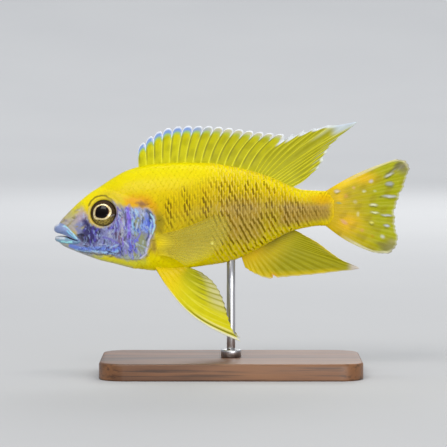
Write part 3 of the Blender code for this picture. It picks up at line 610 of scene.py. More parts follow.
class Finish:
    """One material's nodes. Values that are the same all over are set on the shader itself."""

    def __init__(self, name, **fixed):
        self.material = bpy.data.materials.new(name)
        self.material.use_nodes = True
        self.tree = self.material.node_tree
        self.shader = self.tree.nodes["Principled BSDF"]
        for socket, value in fixed.items():
            self.shader.inputs[socket.replace("_", " ").title().replace("Ior", "IOR")].default_value = value

    def add(self, kind, settings, inputs, output=0):
        """Adds a node with its settings, and its inputs by place or by name, as numbers or links."""
        node = self.tree.nodes.new(kind)
        for name, value in settings.items():
            setattr(node, name, value)
        pairs = inputs.items() if isinstance(inputs, dict) else enumerate(inputs)
        for key, value in pairs:
            if isinstance(value, Value):
                self.tree.links.new(value.socket, node.inputs[key])
            elif value is not None:
                node.inputs[key].default_value = value
        return Value(self, node.outputs[output])

    def noise(self, place, scale, detail=2.0, stretch=(1.0, 1.0, 1.0), roughness=0.5):
        """Cloudy noise of about `scale` clouds a metre, drawn out by a stretch."""
        moved = self.add("ShaderNodeMapping", {}, {"Vector": place, "Scale": stretch})
        sizes = {"Vector": moved, "Scale": scale, "Detail": detail, "Roughness": roughness}
        return self.add("ShaderNodeTexNoise", {}, sizes)

    def mix(self, share, first, second):
        """A colour between two, by a share."""
        settings = {"data_type": "RGBA"}
        rgba = [c if isinstance(c, Value) else (*linear(c), 1.0) for c in (first, second)]
        return self.add("ShaderNodeMix", settings, {0: share, 6: rgba[0], 7: rgba[1]}, 2)

    def times(self, colour, factor):
        """A colour made darker or brighter by a factor."""
        return self.add("ShaderNodeVectorMath", {"operation": "SCALE"}, {"Vector": colour, "Scale": factor})

    def attribute(self, name, output="Vector"):
        """A value that the mesh holds for each of its points."""
        return self.add("ShaderNodeAttribute", {"attribute_name": name}, (), output)

    def parts(self, vector):
        """The three parts of a vector."""
        node = self.add("ShaderNodeSeparateXYZ", {}, (vector,))
        return [Value(self, socket) for socket in node.socket.node.outputs]

    def place(self):
        """The place on the piece, in metres."""
        return self.add("ShaderNodeTexCoord", {}, (), "Object")

    def bump(self, height, depth):
        """Tilts the surface by a height from 0 to 1, which stands for a depth in metres."""
        self.drive("Normal", self.add("ShaderNodeBump", {}, {"Height": height, "Distance": depth}))

    def drive(self, socket, value):
        """Links a value that changes over the surface to one of the shader's sockets."""
        self.tree.links.new(value.socket, self.shader.inputs[socket])


def new_piece(name, points, face_groups, finish, slot, replaced=(), **values):
    """Puts points, in millimetres from the snout tip, into a mesh that faces outwards, and gives it
    its finish, its values per point and its place in the frame."""
    points = (np.asarray(points, float) - (SNOUT_TIP, 0.0, 0.0)) * MM
    volume = 0.0
    for faces in face_groups:
        for second in range(1, faces.shape[1] - 1):
            a, b, c = (points[faces[:, i]] for i in (0, second, second + 1))
            volume += np.sum(a * np.cross(b, c))
    if volume < 0:
        face_groups = [faces[:, ::-1] for faces in face_groups]
    corners = np.concatenate([faces.ravel() for faces in face_groups]).astype(np.int32)
    counts = np.concatenate([np.full(len(faces), faces.shape[1]) for faces in face_groups])
    mesh = bpy.data.meshes.new(name)
    mesh.vertices.add(len(points))
    mesh.loops.add(len(corners))
    mesh.polygons.add(len(counts))
    mesh.vertices.foreach_set("co", points.astype(np.float32).ravel())
    mesh.loops.foreach_set("vertex_index", corners)
    mesh.polygons.foreach_set("loop_start", np.concatenate([[0], np.cumsum(counts)[:-1]]).astype(np.int32))
    mesh.update(calc_edges=True)
    mesh.shade_smooth()
    for key, value in values.items():
        value = np.asarray(value, np.float32).reshape(len(points), -1)
        kind, field = ("FLOAT", "value") if value.shape[1] == 1 else ("FLOAT_VECTOR", "vector")
        mesh.attributes.new(key, kind, "POINT").data.foreach_set(field, value.ravel())
    mesh.materials.append(finish.material)
    piece = bpy.data.objects.new(name, mesh)
    bpy.context.scene.collection.objects.link(piece)
    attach(piece, "root")
    if replaced:
        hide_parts(*replaced)
    return piece


def quads(*corners):
    """Four-cornered faces from four arrays of point numbers."""
    return np.stack(corners, axis=-1).reshape(-1, 4)


def tube_faces(rings, columns):
    """Quads between closed rings of points."""
    ring, column = np.meshgrid(np.arange(rings - 1), np.arange(columns), indexing="ij")
    start, after = ring * columns + column, ring * columns + (column + 1) % columns
    return quads(start, after, after + columns, start + columns)


def pole_faces(first, columns, pole):
    """Triangles from one closed ring, which starts at a point number, to a pole."""
    column = np.arange(columns)
    return np.stack([first + column, first + (column + 1) % columns, np.full(columns, pole)], axis=-1)


def closed_tube(rings, poles):
    """Points and faces of closed rings, with a pole that closes each end."""
    count, columns = rings.shape[0] * rings.shape[1], rings.shape[1]
    points = np.concatenate([rings.reshape(-1, 3), poles])
    ends = [pole_faces(0, columns, count)[:, ::-1], pole_faces(count - columns, columns, count + 1)]
    return points, [tube_faces(len(rings), columns), np.concatenate(ends)]


skin_finish = Finish("fish_skin", roughness=0.38, specular_ior_level=0.12, coat_roughness=0.15,
                     subsurface_weight=0.06, subsurface_scale=0.0012)
at = skin_finish.place()
iridescent, grainy, wet = skin_finish.parts(skin_finish.attribute("touch"))
streaks = skin_finish.noise(at, 900.0, 3.0, (1.6, 1.6, 0.55), 0.55)
flecks = skin_finish.noise(at, 1500.0, 3.0, (1.3, 1.3, 0.7), 0.6)
grain = skin_finish.noise(at, 5200.0, 2.0)
colour = skin_finish.times(skin_finish.attribute("paint"), 0.86 + 0.28 * grain)
colour = skin_finish.mix(streaks.between(0.53, 0.62) * iridescent * 0.40, colour, (168, 196, 236))
colour = skin_finish.mix((1 - flecks.between(0.36, 0.45)) * iridescent * 0.45, colour, (58, 48, 96))
colour = skin_finish.mix((1 - flecks.between(0.33, 0.40)) * grainy * 0.30, colour, (150, 110, 20))
skin_finish.drive("Base Color", colour)
skin_finish.drive("Coat Weight", wet * 0.25)
skin_finish.drive("Roughness", 0.30 + 0.2 * streaks)
skin_finish.bump(grain * 0.35 + streaks * iridescent * 1.2 + flecks * 0.5, 0.00012)

grid, normals = skin_grid()
normals[:MOUTH_RINGS] *= 0
normals *= math.copysign(1.0, np.sum(normals[:, COLUMNS // 4, 1]))
skin_s, skin_z = grid[..., 0], grid[..., 2]
lifted = relief(grid)
lifted[: MOUTH_RINGS + LIP_RINGS] = 0
lifted -= COAT_DEPTH * coat_share(skin_s, skin_z)
grid = grid + normals * lifted[..., None]
skin_paint = flecked(markings(skin_s, skin_z), skin_s, skin_z, 21)

on_lips = slice(MOUTH_RINGS, MOUTH_RINGS + LIP_RINGS + 2)
top_half = np.minimum(np.arange(COLUMNS), COLUMNS - np.arange(COLUMNS)) < COLUMNS / 4
lip_paint = np.where(top_half[:, None], linear(UPPER_LIP), linear(LOWER_LIP))
lip_paint = np.broadcast_to(lip_paint, grid[on_lips].shape)
skin_paint[on_lips] = wash_over(lip_paint, skin_s[on_lips], skin_z[on_lips], LIP_WASHES, LIP_STREAKS)
# The inside of the mouth: the gullet's colour, with painted shade that darkens it towards the back of the
# mouth
skin_paint[:MOUTH_RINGS] = linear(GULLET) * (0.15 + 0.9 * np.linspace(0, 1, MOUTH_RINGS)[:, None, None])

# The skin round the eye: a pale ring that turns lilac behind, and painted shade that darkens the skin down
# into the socket
radius = eye_radius(grid)
rim_colour = np.where((skin_z > 59.5)[..., None], linear((206, 184, 60)), linear((196, 178, 124)))
rim_colour = painted(rim_colour, ((146, 136, 156), fade(skin_s - 0.3 * (skin_z - 57.6), 18.5, 20.5)))
skin_paint = painted(skin_paint, (rim_colour, 0.65 * bell(radius - 5.2, 0.40)))
# Painted shade: the skin darkens down into the eye socket
skin_paint *= (1 - 0.8 * (1 - fade(radius, 4.45, 4.95)))[..., None]

# Where the skin shimmers blue, where it is grainy and how wet it looks
blue = np.clip((skin_paint[..., 2] - 0.5 * skin_paint[..., 0]) / 0.12, 0, 1)
in_head = (1 - fade(skin_s, 34.5, 36.5)) * fade(skin_s, 8.5, 11.0)
touch = np.stack([blue * in_head, 1 - blue, 0.15 + 0.85 * blue], axis=-1)
touch[:MOUTH_RINGS] = (0, 0, 1)
# The mouth's back pole takes the gullet's colour in deep painted shade, and the tail stem's end pole takes
# gold
skin_paint = np.concatenate([skin_paint.reshape(-1, 3), [linear(GULLET) * 0.1, linear(GOLD)]])
touch = np.concatenate([touch.reshape(-1, 3), [(0, 0, 1), (0, 1, 0)]])
skin_points, skin_faces = closed_tube(grid, [MOUTH_BACK, (STATION_S[-1] + 0.35, 0.0, 58.6)])
FLESH = (
    "upper_lip", "lower_jaw", "head", "left_gill_cover", "right_gill_cover", "trunk_front",
    "trunk_rear", "tail_stem",
)
new_piece("skin", skin_points, skin_faces, skin_finish, "body_scales", FLESH, paint=skin_paint, touch=touch)

# The coat: overlapping round-edged scales in slanting rows, each a thin closed plate rooted in the
# skin under the scales before it. They are smallest on the nape, by the gills and on the tail stem.

SCALE_PITCH = (
    (8.0, 0.85), (16.0, 1.05), (26.0, 1.45), (38.0, 1.86), (80.0, 1.86), (92.0, 1.50), (100.2, 1.15),
)
FULL_PITCH = 1.9
ROW_SHARE = 0.93
SCALE_LENGTH, SCALE_HALF_WIDTH, SCALE_WIDEST, SCALE_NECK = 1.62, 1.08, 0.46, 0.66
SCALE_ROOT_LIFT, SCALE_TIP_LIFT, SCALE_CROWN, SCALE_THIN = -0.08, 0.05, 0.025, 0.02
ROWS = 26
COAT_END = 97.6
STATIONS_ALONG = np.array([0.10, 0.34, 0.54, 0.70, 0.83, 0.93, 0.985])
PLACES_ACROSS = np.array([-1.0, -0.84, 0.0, 0.84, 1.0, 0.84, 0.0, -0.84])
ON_TOP = np.array([0, 1, 1, 1, 0, -1, -1, -1])
COUNT_STEP = 0.05
TAIL_END, BAKE_PATCH = 125.0, 0.003
CALM = (
    ((12.7, 79.2), (48.0, 79.2), (72.7, 72.8), (73.4, 70.0), (56.9, 69.3), (44.5, 65.1), (33.9, 62.2),
        (19.8, 61.5)),
    ((73.4, 75.7), (86.9, 70.0), (102.8, 67.2), (102.8, 61.2), (86.9, 63.0), (78.4, 65.1)),
)

# Tables of the flank, by distance behind the snout and by reach up from its widest line
COAT_START, TABLE_STEP, TABLE_REACH = 8.0, 0.3, 36.0
table_s = np.arange(COAT_START, STATION_S[-1] + 0.01, TABLE_STEP)
table_reach = np.arange(-TABLE_REACH, TABLE_REACH + 0.01, TABLE_STEP)
table_turns = np.radians(np.linspace(-80, 260, 681))
sections = body_at(table_s[:, None], table_turns[None], COAT_DEPTH)
arc = np.cumsum(np.linalg.norm(np.diff(sections[..., 1:], axis=1), axis=2), axis=1)
arc = np.concatenate([np.zeros((len(arc), 1)), arc], axis=1)
arc = arc[:, np.argmin(np.abs(table_turns - math.pi / 2))][:, None] - arc
turn_table = np.stack([np.interp(table_reach, a[::-1], table_turns[::-1]) for a in arc])
flank = body_at(table_s[:, None], turn_table, COAT_DEPTH)
lean = np.cross(np.gradient(flank, axis=0), np.gradient(flank, axis=1))
lean /= np.maximum(np.linalg.norm(lean, axis=2, keepdims=True), 1e-9)
lean *= math.copysign(1.0, lean[len(table_s) // 2, len(table_reach) // 2, 1])


def on_flank(table, s, reach):
    """Reads a table of the flank between its lines: a share of each of the four values round a place."""
    i = np.clip((s - table_s[0]) / TABLE_STEP, 0, len(table_s) - 1.001)
    j = np.clip((reach - table_reach[0]) / TABLE_STEP, 0, len(table_reach) - 1.001)
    i0, j0 = i.astype(int), j.astype(int)
    u, v = (i - i0)[..., None], (j - j0)[..., None]
    table = table if table.ndim == 3 else table[..., None]
    near = table[i0, j0] * (1 - v) + table[i0, j0 + 1] * v
    far = table[i0 + 1, j0] * (1 - v) + table[i0 + 1, j0 + 1] * v
    return near * (1 - u) + far * u


# Each scale's root: rows one above another, every other row half a scale further back
fine_s = np.arange(COAT_START, COAT_END, COUNT_STEP)
counted = np.cumsum(COUNT_STEP / profile(SCALE_PITCH, fine_s))
row_grid, place_grid = np.meshgrid(np.arange(-ROWS, ROWS + 1), np.arange(1, counted[-1]), indexing="ij")
root_s = np.interp(place_grid + 0.5 * (row_grid % 2), counted, fine_s).ravel()
pitch = profile(SCALE_PITCH, root_s)
root_reach = row_grid.ravel() * pitch * ROW_SHARE
shown_at = on_flank(flank, np.minimum(root_s + pitch, COAT_END), root_reach)
root_turn = on_flank(turn_table, root_s, root_reach)[:, 0]
kept = (coat_share(shown_at[:, 0], shown_at[:, 2]) > 0.5) & (root_turn > 0.0) & (root_turn < math.pi)
root_s, root_reach, pitch, root_turn = (a[kept] for a in (root_s, root_reach, pitch, root_turn))
shown_s, shown_z = shown_at[kept, 0], shown_at[kept, 2]

# One scale, in shares of its length and of its half width. Its outline widens by a quarter of a sine
# to its widest place and closes behind it in a round hem, and its root and its tip are single points
round_scale = len(PLACES_ACROSS)
stations = np.concatenate([[0.0], np.repeat(STATIONS_ALONG, round_scale), [1.0]])
across = np.concatenate([[0.0], np.tile(PLACES_ACROSS, len(STATIONS_ALONG)), [0.0]])
upper_side = np.concatenate([[0.0], np.tile(ON_TOP, len(STATIONS_ALONG)), [0.0]])
before = SCALE_NECK + (1 - SCALE_NECK) * np.sin(math.pi / 2 * np.clip(stations / SCALE_WIDEST, 0, 1))
behind = np.clip((stations - SCALE_WIDEST) / (1 - SCALE_WIDEST), 0, 1)
outline = np.where(stations < SCALE_WIDEST, before, np.sqrt(np.clip(1 - behind**2.3, 0, 1)))
top = SCALE_CROWN * (1 - across**2) * (upper_side > 0)
crown = (top - SCALE_THIN * (upper_side < 0)) * np.sqrt(outline)
last = len(stations) - 1
scale_tube = tube_faces(len(STATIONS_ALONG), round_scale) + 1
scale_ends = np.concatenate([pole_faces(1, round_scale, 0)[:, ::-1],
                             pole_faces(last - round_scale, round_scale, last)])


def calm(s, z):
    """Where the scales lie flat and even: the front of the back and the top of the tail stem."""
    return np.maximum.reduce([within(s, z, outline, 2.2) for outline in CALM])


def coat_piece(name, side, seed):
    """All the scales of one flank, each turned, sized and lifted a little by chance. A point of a scale
    is a place on the flank, moved off it along the flank's lean by the scale's height there."""
    chance = np.random.default_rng(seed)
    number = len(root_s)
    turned = chance.normal(0, 0.05, number)[:, None]
    size = (pitch * (1 + chance.normal(0, 0.035, number)))[:, None]
    still = calm(shown_s, shown_z)
    lift = chance.normal(0, 0.008, number) * (1 - still)
    tone = 0.5 + (chance.random(number) - 0.5) * (1 - 0.6 * still)
    reach_along = stations * SCALE_LENGTH * size
    reach_across = across * outline * SCALE_HALF_WIDTH * ROW_SHARE * size
    s = np.minimum(root_s[:, None] + reach_along - reach_across * turned, COAT_END + 1.2)
    reach = root_reach[:, None] + reach_across + reach_along * turned
    grown = pitch[:, None] / FULL_PITCH
    height = SCALE_ROOT_LIFT + (SCALE_TIP_LIFT - SCALE_ROOT_LIFT) * stations + crown * grown
    height = height * grown * (1 - 0.45 * still)[:, None] + lift[:, None] + 0.02
    points = on_flank(flank, s, reach) + on_flank(lean, s, reach) * height[..., None]
    points = (points * (1, side, 1)).reshape(-1, 3)
    start = (np.arange(number) * len(stations))[:, None, None]
    faces = [(scale_tube + start).reshape(-1, 4), (scale_ends + start).reshape(-1, 3)]
    lie = np.stack(np.broadcast_arrays(stations, across * outline, tone[:, None]), axis=-1)
    at_s, at_z = points[:, 0], points[:, 2]
    low_flank = fade(at_s, 52.0, 60.0) * (1 - fade(at_s, 84.0, 94.0))
    slant = 0.26 * (1 - fade(at_z, 50.0, 60.0)) + 0.05
    aged = np.stack([barring(at_s, at_z), low_flank, slant], axis=-1)
    piece = new_piece(name, points, faces, scale_finish, "body_scales", paint=markings(at_s, at_z),
                      lie=lie, aged=aged)
    patch_s = root_s[:, None] / TAIL_END + (stations - 0.5) * BAKE_PATCH
    patch_turn = (root_turn / math.tau)[:, None] + across * BAKE_PATCH / 2
    patch = np.stack([patch_s, patch_turn], axis=-1).reshape(-1, 2)
    corner = np.empty(len(piece.data.loops), np.int32)
    piece.data.loops.foreach_get("vertex_index", corner)
    unwrap = piece.data.uv_layers.new(name="OFBake")
    unwrap.data.foreach_set("uv", patch[corner].astype(np.float32).ravel())


scale_finish = Finish("scales", roughness=0.36, specular_ior_level=0.07, coat_roughness=0.16,
                      subsurface_weight=0.05, subsurface_scale=0.001)
at = scale_finish.place()
lie = scale_finish.attribute("lie")
out, over, tone = scale_finish.parts(lie)
bars, low_flank, slant = scale_finish.parts(scale_finish.attribute("aged"))
cloud = scale_finish.noise(at, 260.0, 3.0)
grain = scale_finish.noise(at, 3600.0, 2.0)
radii = scale_finish.noise(lie, 14.0, 1.0, (0.35, 1.6, 20.0))
crosswise = over * over
sweep = out + 0.06 * crosswise + over * (slant + (tone - 0.5) * 0.12)
base_mark = sweep.between(0.55, 0.63) * (1 - sweep.between(0.78, 0.87))
base_mark = base_mark * (1 - crosswise.between(0.45, 0.95))
pale_mark = sweep.between(0.84, 0.93) * (1 - crosswise.between(0.20, 0.75))
hem_mark = (out + 0.16 * crosswise).between(0.88, 1.0)
colour = scale_finish.times(scale_finish.attribute("paint"), 0.88 + 0.12 * tone + 0.12 * grain)
dark = base_mark * (bars * (0.45 + 0.9 * tone) + low_flank * tone.between(0.4, 0.9) * 0.40)
colour = scale_finish.mix(dark.math("MINIMUM", 0.9), colour, (108, 84, 0))
colour = scale_finish.mix(pale_mark * low_flank * (0.25 + 0.45 * cloud), colour, (206, 178, 104))
colour = scale_finish.mix(base_mark * cloud.between(0.50, 0.62) * 0.18, colour, (224, 172, 0))
scale_finish.drive("Base Color", colour)
scale_finish.drive("Coat Weight", 0.02 + 0.08 * cloud)
scale_finish.drive("Roughness", 0.28 + 0.22 * grain)
scale_finish.bump(radii * 0.4 + grain * 0.3 + hem_mark * 0.2, 0.00004)
coat_piece("scales_left", -1.0, 11)
coat_piece("scales_right", 1.0, 12)

# The eyes: a clear-fronted ball on each side, with a black lens, a pale gold ring and a brown iris
# that turns olive gold below, held in the skin's socket.

BALL_RADIUS, BALL_HALF_DEPTH, BALL_LEVEL, BALL_SQUARENESS = 4.90, 1.95, 4.95, 2.6
LENS_LIFT, LENS_RADIUS = 0.22, 2.2
PUPIL_SHIFT, PUPIL_RADIUS, PUPIL_TEAR, TEAR_DIRECTION = (-0.28, 0.32), 2.30, 0.38, math.radians(215)
RING_OFF, RING_WIDER, RING_HALF = 0.27, 0.34, 0.25
EYE_RINGS, EYE_COLUMNS = 44, 96


def eye_piece(name, side, replaced):
    """A ball turned about the eye's axis: its radius goes with a root of the tilt's sine and its height
    with the cosine, and the lens stands proud by a bell of the radius. Its paint knows how far each
    point lies outside the pupil, which is drawn out into a small tear, and off the ring round it."""
    tilt = np.linspace(0, math.pi, EYE_RINGS + 1)[1:-1]
    radius = BALL_RADIUS * np.sin(tilt) ** (2 / BALL_SQUARENESS)
    sunk = BALL_LEVEL - EYE_LEVEL
    height = BALL_HALF_DEPTH * np.cos(tilt) + sunk
    height += LENS_LIFT * np.exp(-((radius / LENS_RADIUS) ** 4)) * (tilt < math.pi / 2)
    turn = np.arange(EYE_COLUMNS) * math.tau / EYE_COLUMNS
    back = np.cross((0, 0, 1.0), EYE_AXIS)
    back *= math.copysign(1.0, back[0]) / np.linalg.norm(back)
    up = np.cross(back, EYE_AXIS)
    up *= math.copysign(1.0, up[2])
    spoke = np.cos(turn)[:, None] * back + np.sin(turn)[:, None] * up
    centre = np.array([EYE_CENTRE[0], EYE_LEVEL, EYE_CENTRE[1]])
    rings = centre + radius[:, None, None] * spoke + height[:, None, None] * EYE_AXIS
    front = centre + (sunk + BALL_HALF_DEPTH + LENS_LIFT) * EYE_AXIS
    points, faces = closed_tube(rings, [front, centre + (sunk - BALL_HALF_DEPTH) * EYE_AXIS])
    rearwards = np.append(np.outer(radius, np.cos(turn)), [0, 0])
    upwards = np.append(np.outer(radius, np.sin(turn)), [0, 0])
    shift = 1 - fade(np.hypot(rearwards, upwards), 2.6, 4.4)
    rearwards, upwards = rearwards - PUPIL_SHIFT[0] * shift, upwards - PUPIL_SHIFT[1] * shift
    from_axis, angle = np.hypot(rearwards, upwards), np.arctan2(upwards, rearwards)
    off_tear = (angle - TEAR_DIRECTION + math.pi) % math.tau - math.pi
    past_pupil = from_axis - (PUPIL_RADIUS + PUPIL_TEAR * bell(off_tear, 0.45))
    middle = RING_OFF + RING_WIDER * np.cos(angle) ** 2 + 0.04 * np.sin(5 * angle + 1.0)
    wide = RING_HALF * (1 + 0.55 * np.cos(angle) ** 2 + 0.15 * np.cos(angle - TEAR_DIRECTION))
    iris = np.stack([past_pupil, (past_pupil - middle) / wide, np.zeros_like(angle)], axis=-1)
    new_piece(name, points * (1, side, 1), faces, eye_finish, "eye", (replaced,), iris=iris,
              round=np.stack([from_axis, np.cos(angle), np.sin(angle)], axis=-1))


eye_finish = Finish("eye", specular_ior_level=0.05, coat_weight=0.5, coat_roughness=0.02, coat_ior=1.33)
past_pupil, off_ring, _ = eye_finish.parts(eye_finish.attribute("iris"))
from_axis, _, aloft = eye_finish.parts(eye_finish.attribute("round"))
spokes = eye_finish.noise(eye_finish.attribute("round"), 5.0, 3.0, (0.4, 3.0, 3.0))
speckle = eye_finish.noise(eye_finish.place(), 1700.0, 3.0)
olive_below = aloft.between(-0.2, -0.85) * speckle.between(0.30, 0.60)
iris = eye_finish.mix(olive_below, (54, 38, 22), (150, 132, 58))
iris = eye_finish.mix(spokes.between(0.45, 0.75) * 0.45, iris, (110, 88, 44))
iris = eye_finish.mix(from_axis.between(3.8, 4.6) * 0.75, iris, (30, 22, 18))
gold = eye_finish.mix(speckle.between(0.35, 0.65), (236, 222, 178), (206, 184, 126))
iris = eye_finish.mix(off_ring.between(-0.6, 0.4), (112, 74, 50), iris)
on_ring = 1 - (off_ring * off_ring).between(0.55, 1.5)
colour = eye_finish.mix(on_ring, iris, gold)
colour = eye_finish.mix(past_pupil.between(-0.06, 0.08), (8, 3, 3), colour)
eye_finish.drive("Base Color", colour)
eye_finish.drive("Roughness", 0.20 + 0.25 * speckle)
eye_finish.drive("Metallic", on_ring * 0.35)
eye_piece("eye_left", -1.0, "left_eye")
eye_piece("eye_right", 1.0, "right_eye")

# The dorsal fin: sixteen hard spines with a thin web between them, whose rounded flaps are pale
# blue, and behind them the soft rays that run out to a point.

ROOT_SINK = 1.5
WEB, RAY, RAY_WIDTH, ROOT_FLESH = 0.17, 0.46, 0.17, 1.1
DORSAL_BASE = (29.9, 83.0)
SOFT_DORSAL_START = 70.5
SPINE_TIPS = (
    (29.7, 78.5), (33.5, 81.8), (36.7, 83.8), (40.3, 85.2), (47.1, 86.0), (54.0, 86.0), (60.9, 85.4),
    (71.0, 84.2), (80.9, 83.3),
)
SPINES, SPINE_LAPPET, SPINE_BOW, SOFT_GAPS = 16, 2.0, 1.2, 12
SOFT_DORSAL_EDGE = (
    (80.9, 83.3), (85.1, 84.8), (90.4, 86.3), (96.4, 87.7), (107.3, 89.1), (101.3, 84.1), (97.8, 80.8),
    (95.7, 77.4), (93.9, 73.5), (91.1, 71.1),
)
FIN_LEMON = (216, 210, 0)
FIN_OLIVE = (164, 160, 0)
FIN_RAY = (236, 232, 44)
LAPPET_BLUE = (128, 158, 222)
FIN_WHITE = (236, 240, 246)


def along(points, shares):
    """Points at these shares of the arc length of a smooth curve through the given points."""
    points = np.asarray(points, float)
    chord = np.concatenate([[0], np.cumsum(np.linalg.norm(np.diff(points, axis=0), axis=1))])
    fine = np.linspace(0, chord[-1], 40 * len(points))
    curve = np.stack([smooth(fine, chord, column) for column in points.T], axis=1)
    arc = np.concatenate([[0], np.cumsum(np.linalg.norm(np.diff(curve, axis=0), axis=1))])
    return np.stack([np.interp(np.asarray(shares) * arc[-1], arc, c) for c in curve.T], axis=1)


def through(points, number):
    """A number of points on a smooth curve through the given points, as many between each two."""
    points = np.asarray(points, float)
    order = np.arange(len(points))
    return np.stack([smooth(np.linspace(0, order[-1], number), order, c) for c in points.T], axis=1)


def on_middle(pairs):
    """Side-view points as points on the fish's middle plane."""
    pairs = np.asarray(pairs, float)
    return np.stack([pairs[:, 0], np.zeros(len(pairs)), pairs[:, 1]], axis=1)


def median_roots(base, columns, edge_z, sink):
    """Root points of a fin on the fish's middle line, sunk below its skin."""
    s = np.linspace(*base, columns)
    return np.stack([s, np.zeros(columns), smooth(s, STATION_S, edge_z) + sink], axis=1)


def fin_sheet(roots, tips, gap, rows, edge, bow=(0.0, 0.0), sway=(0.0, 0.0, 2.0), forking=0.0,
              flesh=(ROOT_FLESH, 1.7), ray=RAY):
    """A fin's middle surface, thickness and paint guides.

    Column k runs from roots[k] to tips[k], lengthened by the edge's shape between two rays. Every
    gap-th column is a ray, and the rays fork outwards. bow curves them in the fin's plane and sway
    bends the fin across the fish by a power of the way out. The fin is a web, thicker by a bell
    across each ray and by its flesh at the root, which falls off with the distance from it.
    """
    columns = len(roots)
    order = np.arange(columns)
    in_gap = (order % gap) / gap
    reach = tips - roots
    tips = tips + reach / np.linalg.norm(reach, axis=1, keepdims=True) * edge(in_gap, order)[:, None]
    reach = tips - roots
    length = np.linalg.norm(reach, axis=1)
    sideways = np.stack([-reach[:, 2], np.zeros(columns), reach[:, 0]], axis=1)
    sideways /= np.linalg.norm(sideways, axis=1, keepdims=True)
    bend = np.interp(order, (0, columns - 1), bow)
    out = np.linspace(0, 1, rows + 1)
    sheet = roots[:, None] + reach[:, None] * out[:, None]
    sheet += sideways[:, None] * (bend[:, None] * np.sin(math.pi * out))[:, :, None]
    sheet[:, :, 1] += np.interp(order, (0, columns - 1), sway[:2])[:, None] * out ** sway[2]
    out = np.broadcast_to(out, (columns, rows + 1))
    wide = np.linalg.norm(np.gradient(sheet, axis=0), axis=2) * gap
    fork = forking * fade(out, 0.35, 0.95)
    in_gap = np.broadcast_to(in_gap[:, None], out.shape)
    nearest = np.minimum.reduce([np.abs(in_gap - fork), np.abs(in_gap + fork),
                                 np.abs(in_gap - 1 + fork), np.abs(in_gap - 1 - fork)])
    off_ray = nearest * wide
    ridge = bell(off_ray, RAY_WIDTH)
    from_root = out * length[:, None]
    from_edge = (1 - out) * length[:, None]
    thick = WEB + (ray * (1 - 0.45 * out) - WEB) * ridge + flesh[0] * np.exp(-from_root / flesh[1])
    thick = thick * (0.45 + 0.55 * fade(from_edge, 0.0, 0.35))
    sheet[:, :, 1] += 0.07 * np.sin(math.tau * in_gap) * fade(out, 0.2, 0.8)
    return SimpleNamespace(
        sheet=sheet, s=sheet[..., 0], z=sheet[..., 2], thick=thick, ridge=ridge, off_ray=off_ray,
        in_gap=in_gap, share=np.broadcast_to((order / (columns - 1))[:, None], out.shape), out=out,
        from_root=from_root, from_edge=from_edge,
    )


def fin_piece(name, fin, paint, replaced, finish, slot, **extra):
    """Closes a fin's two faces round its middle surface and gives it its paint."""
    normal = np.cross(np.gradient(fin.sheet, axis=0), np.gradient(fin.sheet, axis=1))
    normal /= np.maximum(np.linalg.norm(normal, axis=2, keepdims=True), 1e-9)
    half = normal * fin.thick[..., None] / 2
    points = np.concatenate([(fin.sheet + half).reshape(-1, 3), (fin.sheet - half).reshape(-1, 3)])
    left = np.arange(fin.thick.size).reshape(fin.thick.shape)
    right = left + left.size
    faces = np.concatenate([
        quads(left[:-1, :-1], left[1:, :-1], left[1:, 1:], left[:-1, 1:]),
        quads(right[:-1, :-1], right[:-1, 1:], right[1:, 1:], right[1:, :-1]),
        quads(left[1:, 0], left[:-1, 0], right[:-1, 0], right[1:, 0]),
        quads(left[:-1, -1], left[1:, -1], right[1:, -1], right[:-1, -1]),
        quads(left[0, :-1], left[0, 1:], right[0, 1:], right[0, :-1]),
        quads(left[-1, 1:], left[-1, :-1], right[-1, :-1], right[-1, 1:]),
    ])
    extra.update(paint=paint, guide=np.stack([fin.from_root, fin.in_gap, fin.ridge], axis=-1))
    values = {key: np.tile(np.reshape(value, (left.size, -1)), (2, 1)) for key, value in extra.items()}
    new_piece(name, points, [faces], finish, slot, (replaced,), **values)


def spot_on(fin, s, z, long, tall):
    """1 at a side-view place on a fin and less around it, by a bell this long and tall."""
    return bell(np.hypot((fin.s - s) / long, (fin.z - z) / tall), 1.0)


def fin_finish(name):
    """A wet, thin web: paint with soft clouding, fine cross joints on the rays and a damp gloss."""
    finish = Finish(name, roughness=0.40, specular_ior_level=0.12, coat_roughness=0.2)
    from_root, _, ridge = finish.parts(finish.attribute("guide"))
    at = finish.place()
    cloud = finish.noise(at, 420.0, 3.0)
    grain = finish.noise(at, 3800.0, 2.0)
    joints = (from_root * 9.0).math("SINE") * ridge
    colour = finish.times(finish.attribute("paint"), 0.78 + 0.18 * cloud + 0.14 * grain)
    finish.drive("Base Color", colour)
    finish.drive("Coat Weight", 0.02 + 0.08 * cloud)
    finish.drive("Roughness", 0.30 + 0.20 * grain)
    finish.bump(grain * 0.5 + joints * 0.25, 0.00006)
    return finish


def lappet_edge(in_gap, order):
    """Rounded flaps between the spines, with a sharp notch at each spine."""
    return SPINE_LAPPET * (1 - np.abs(2 * in_gap - 1) ** 2.6) ** 0.6 - 0.25


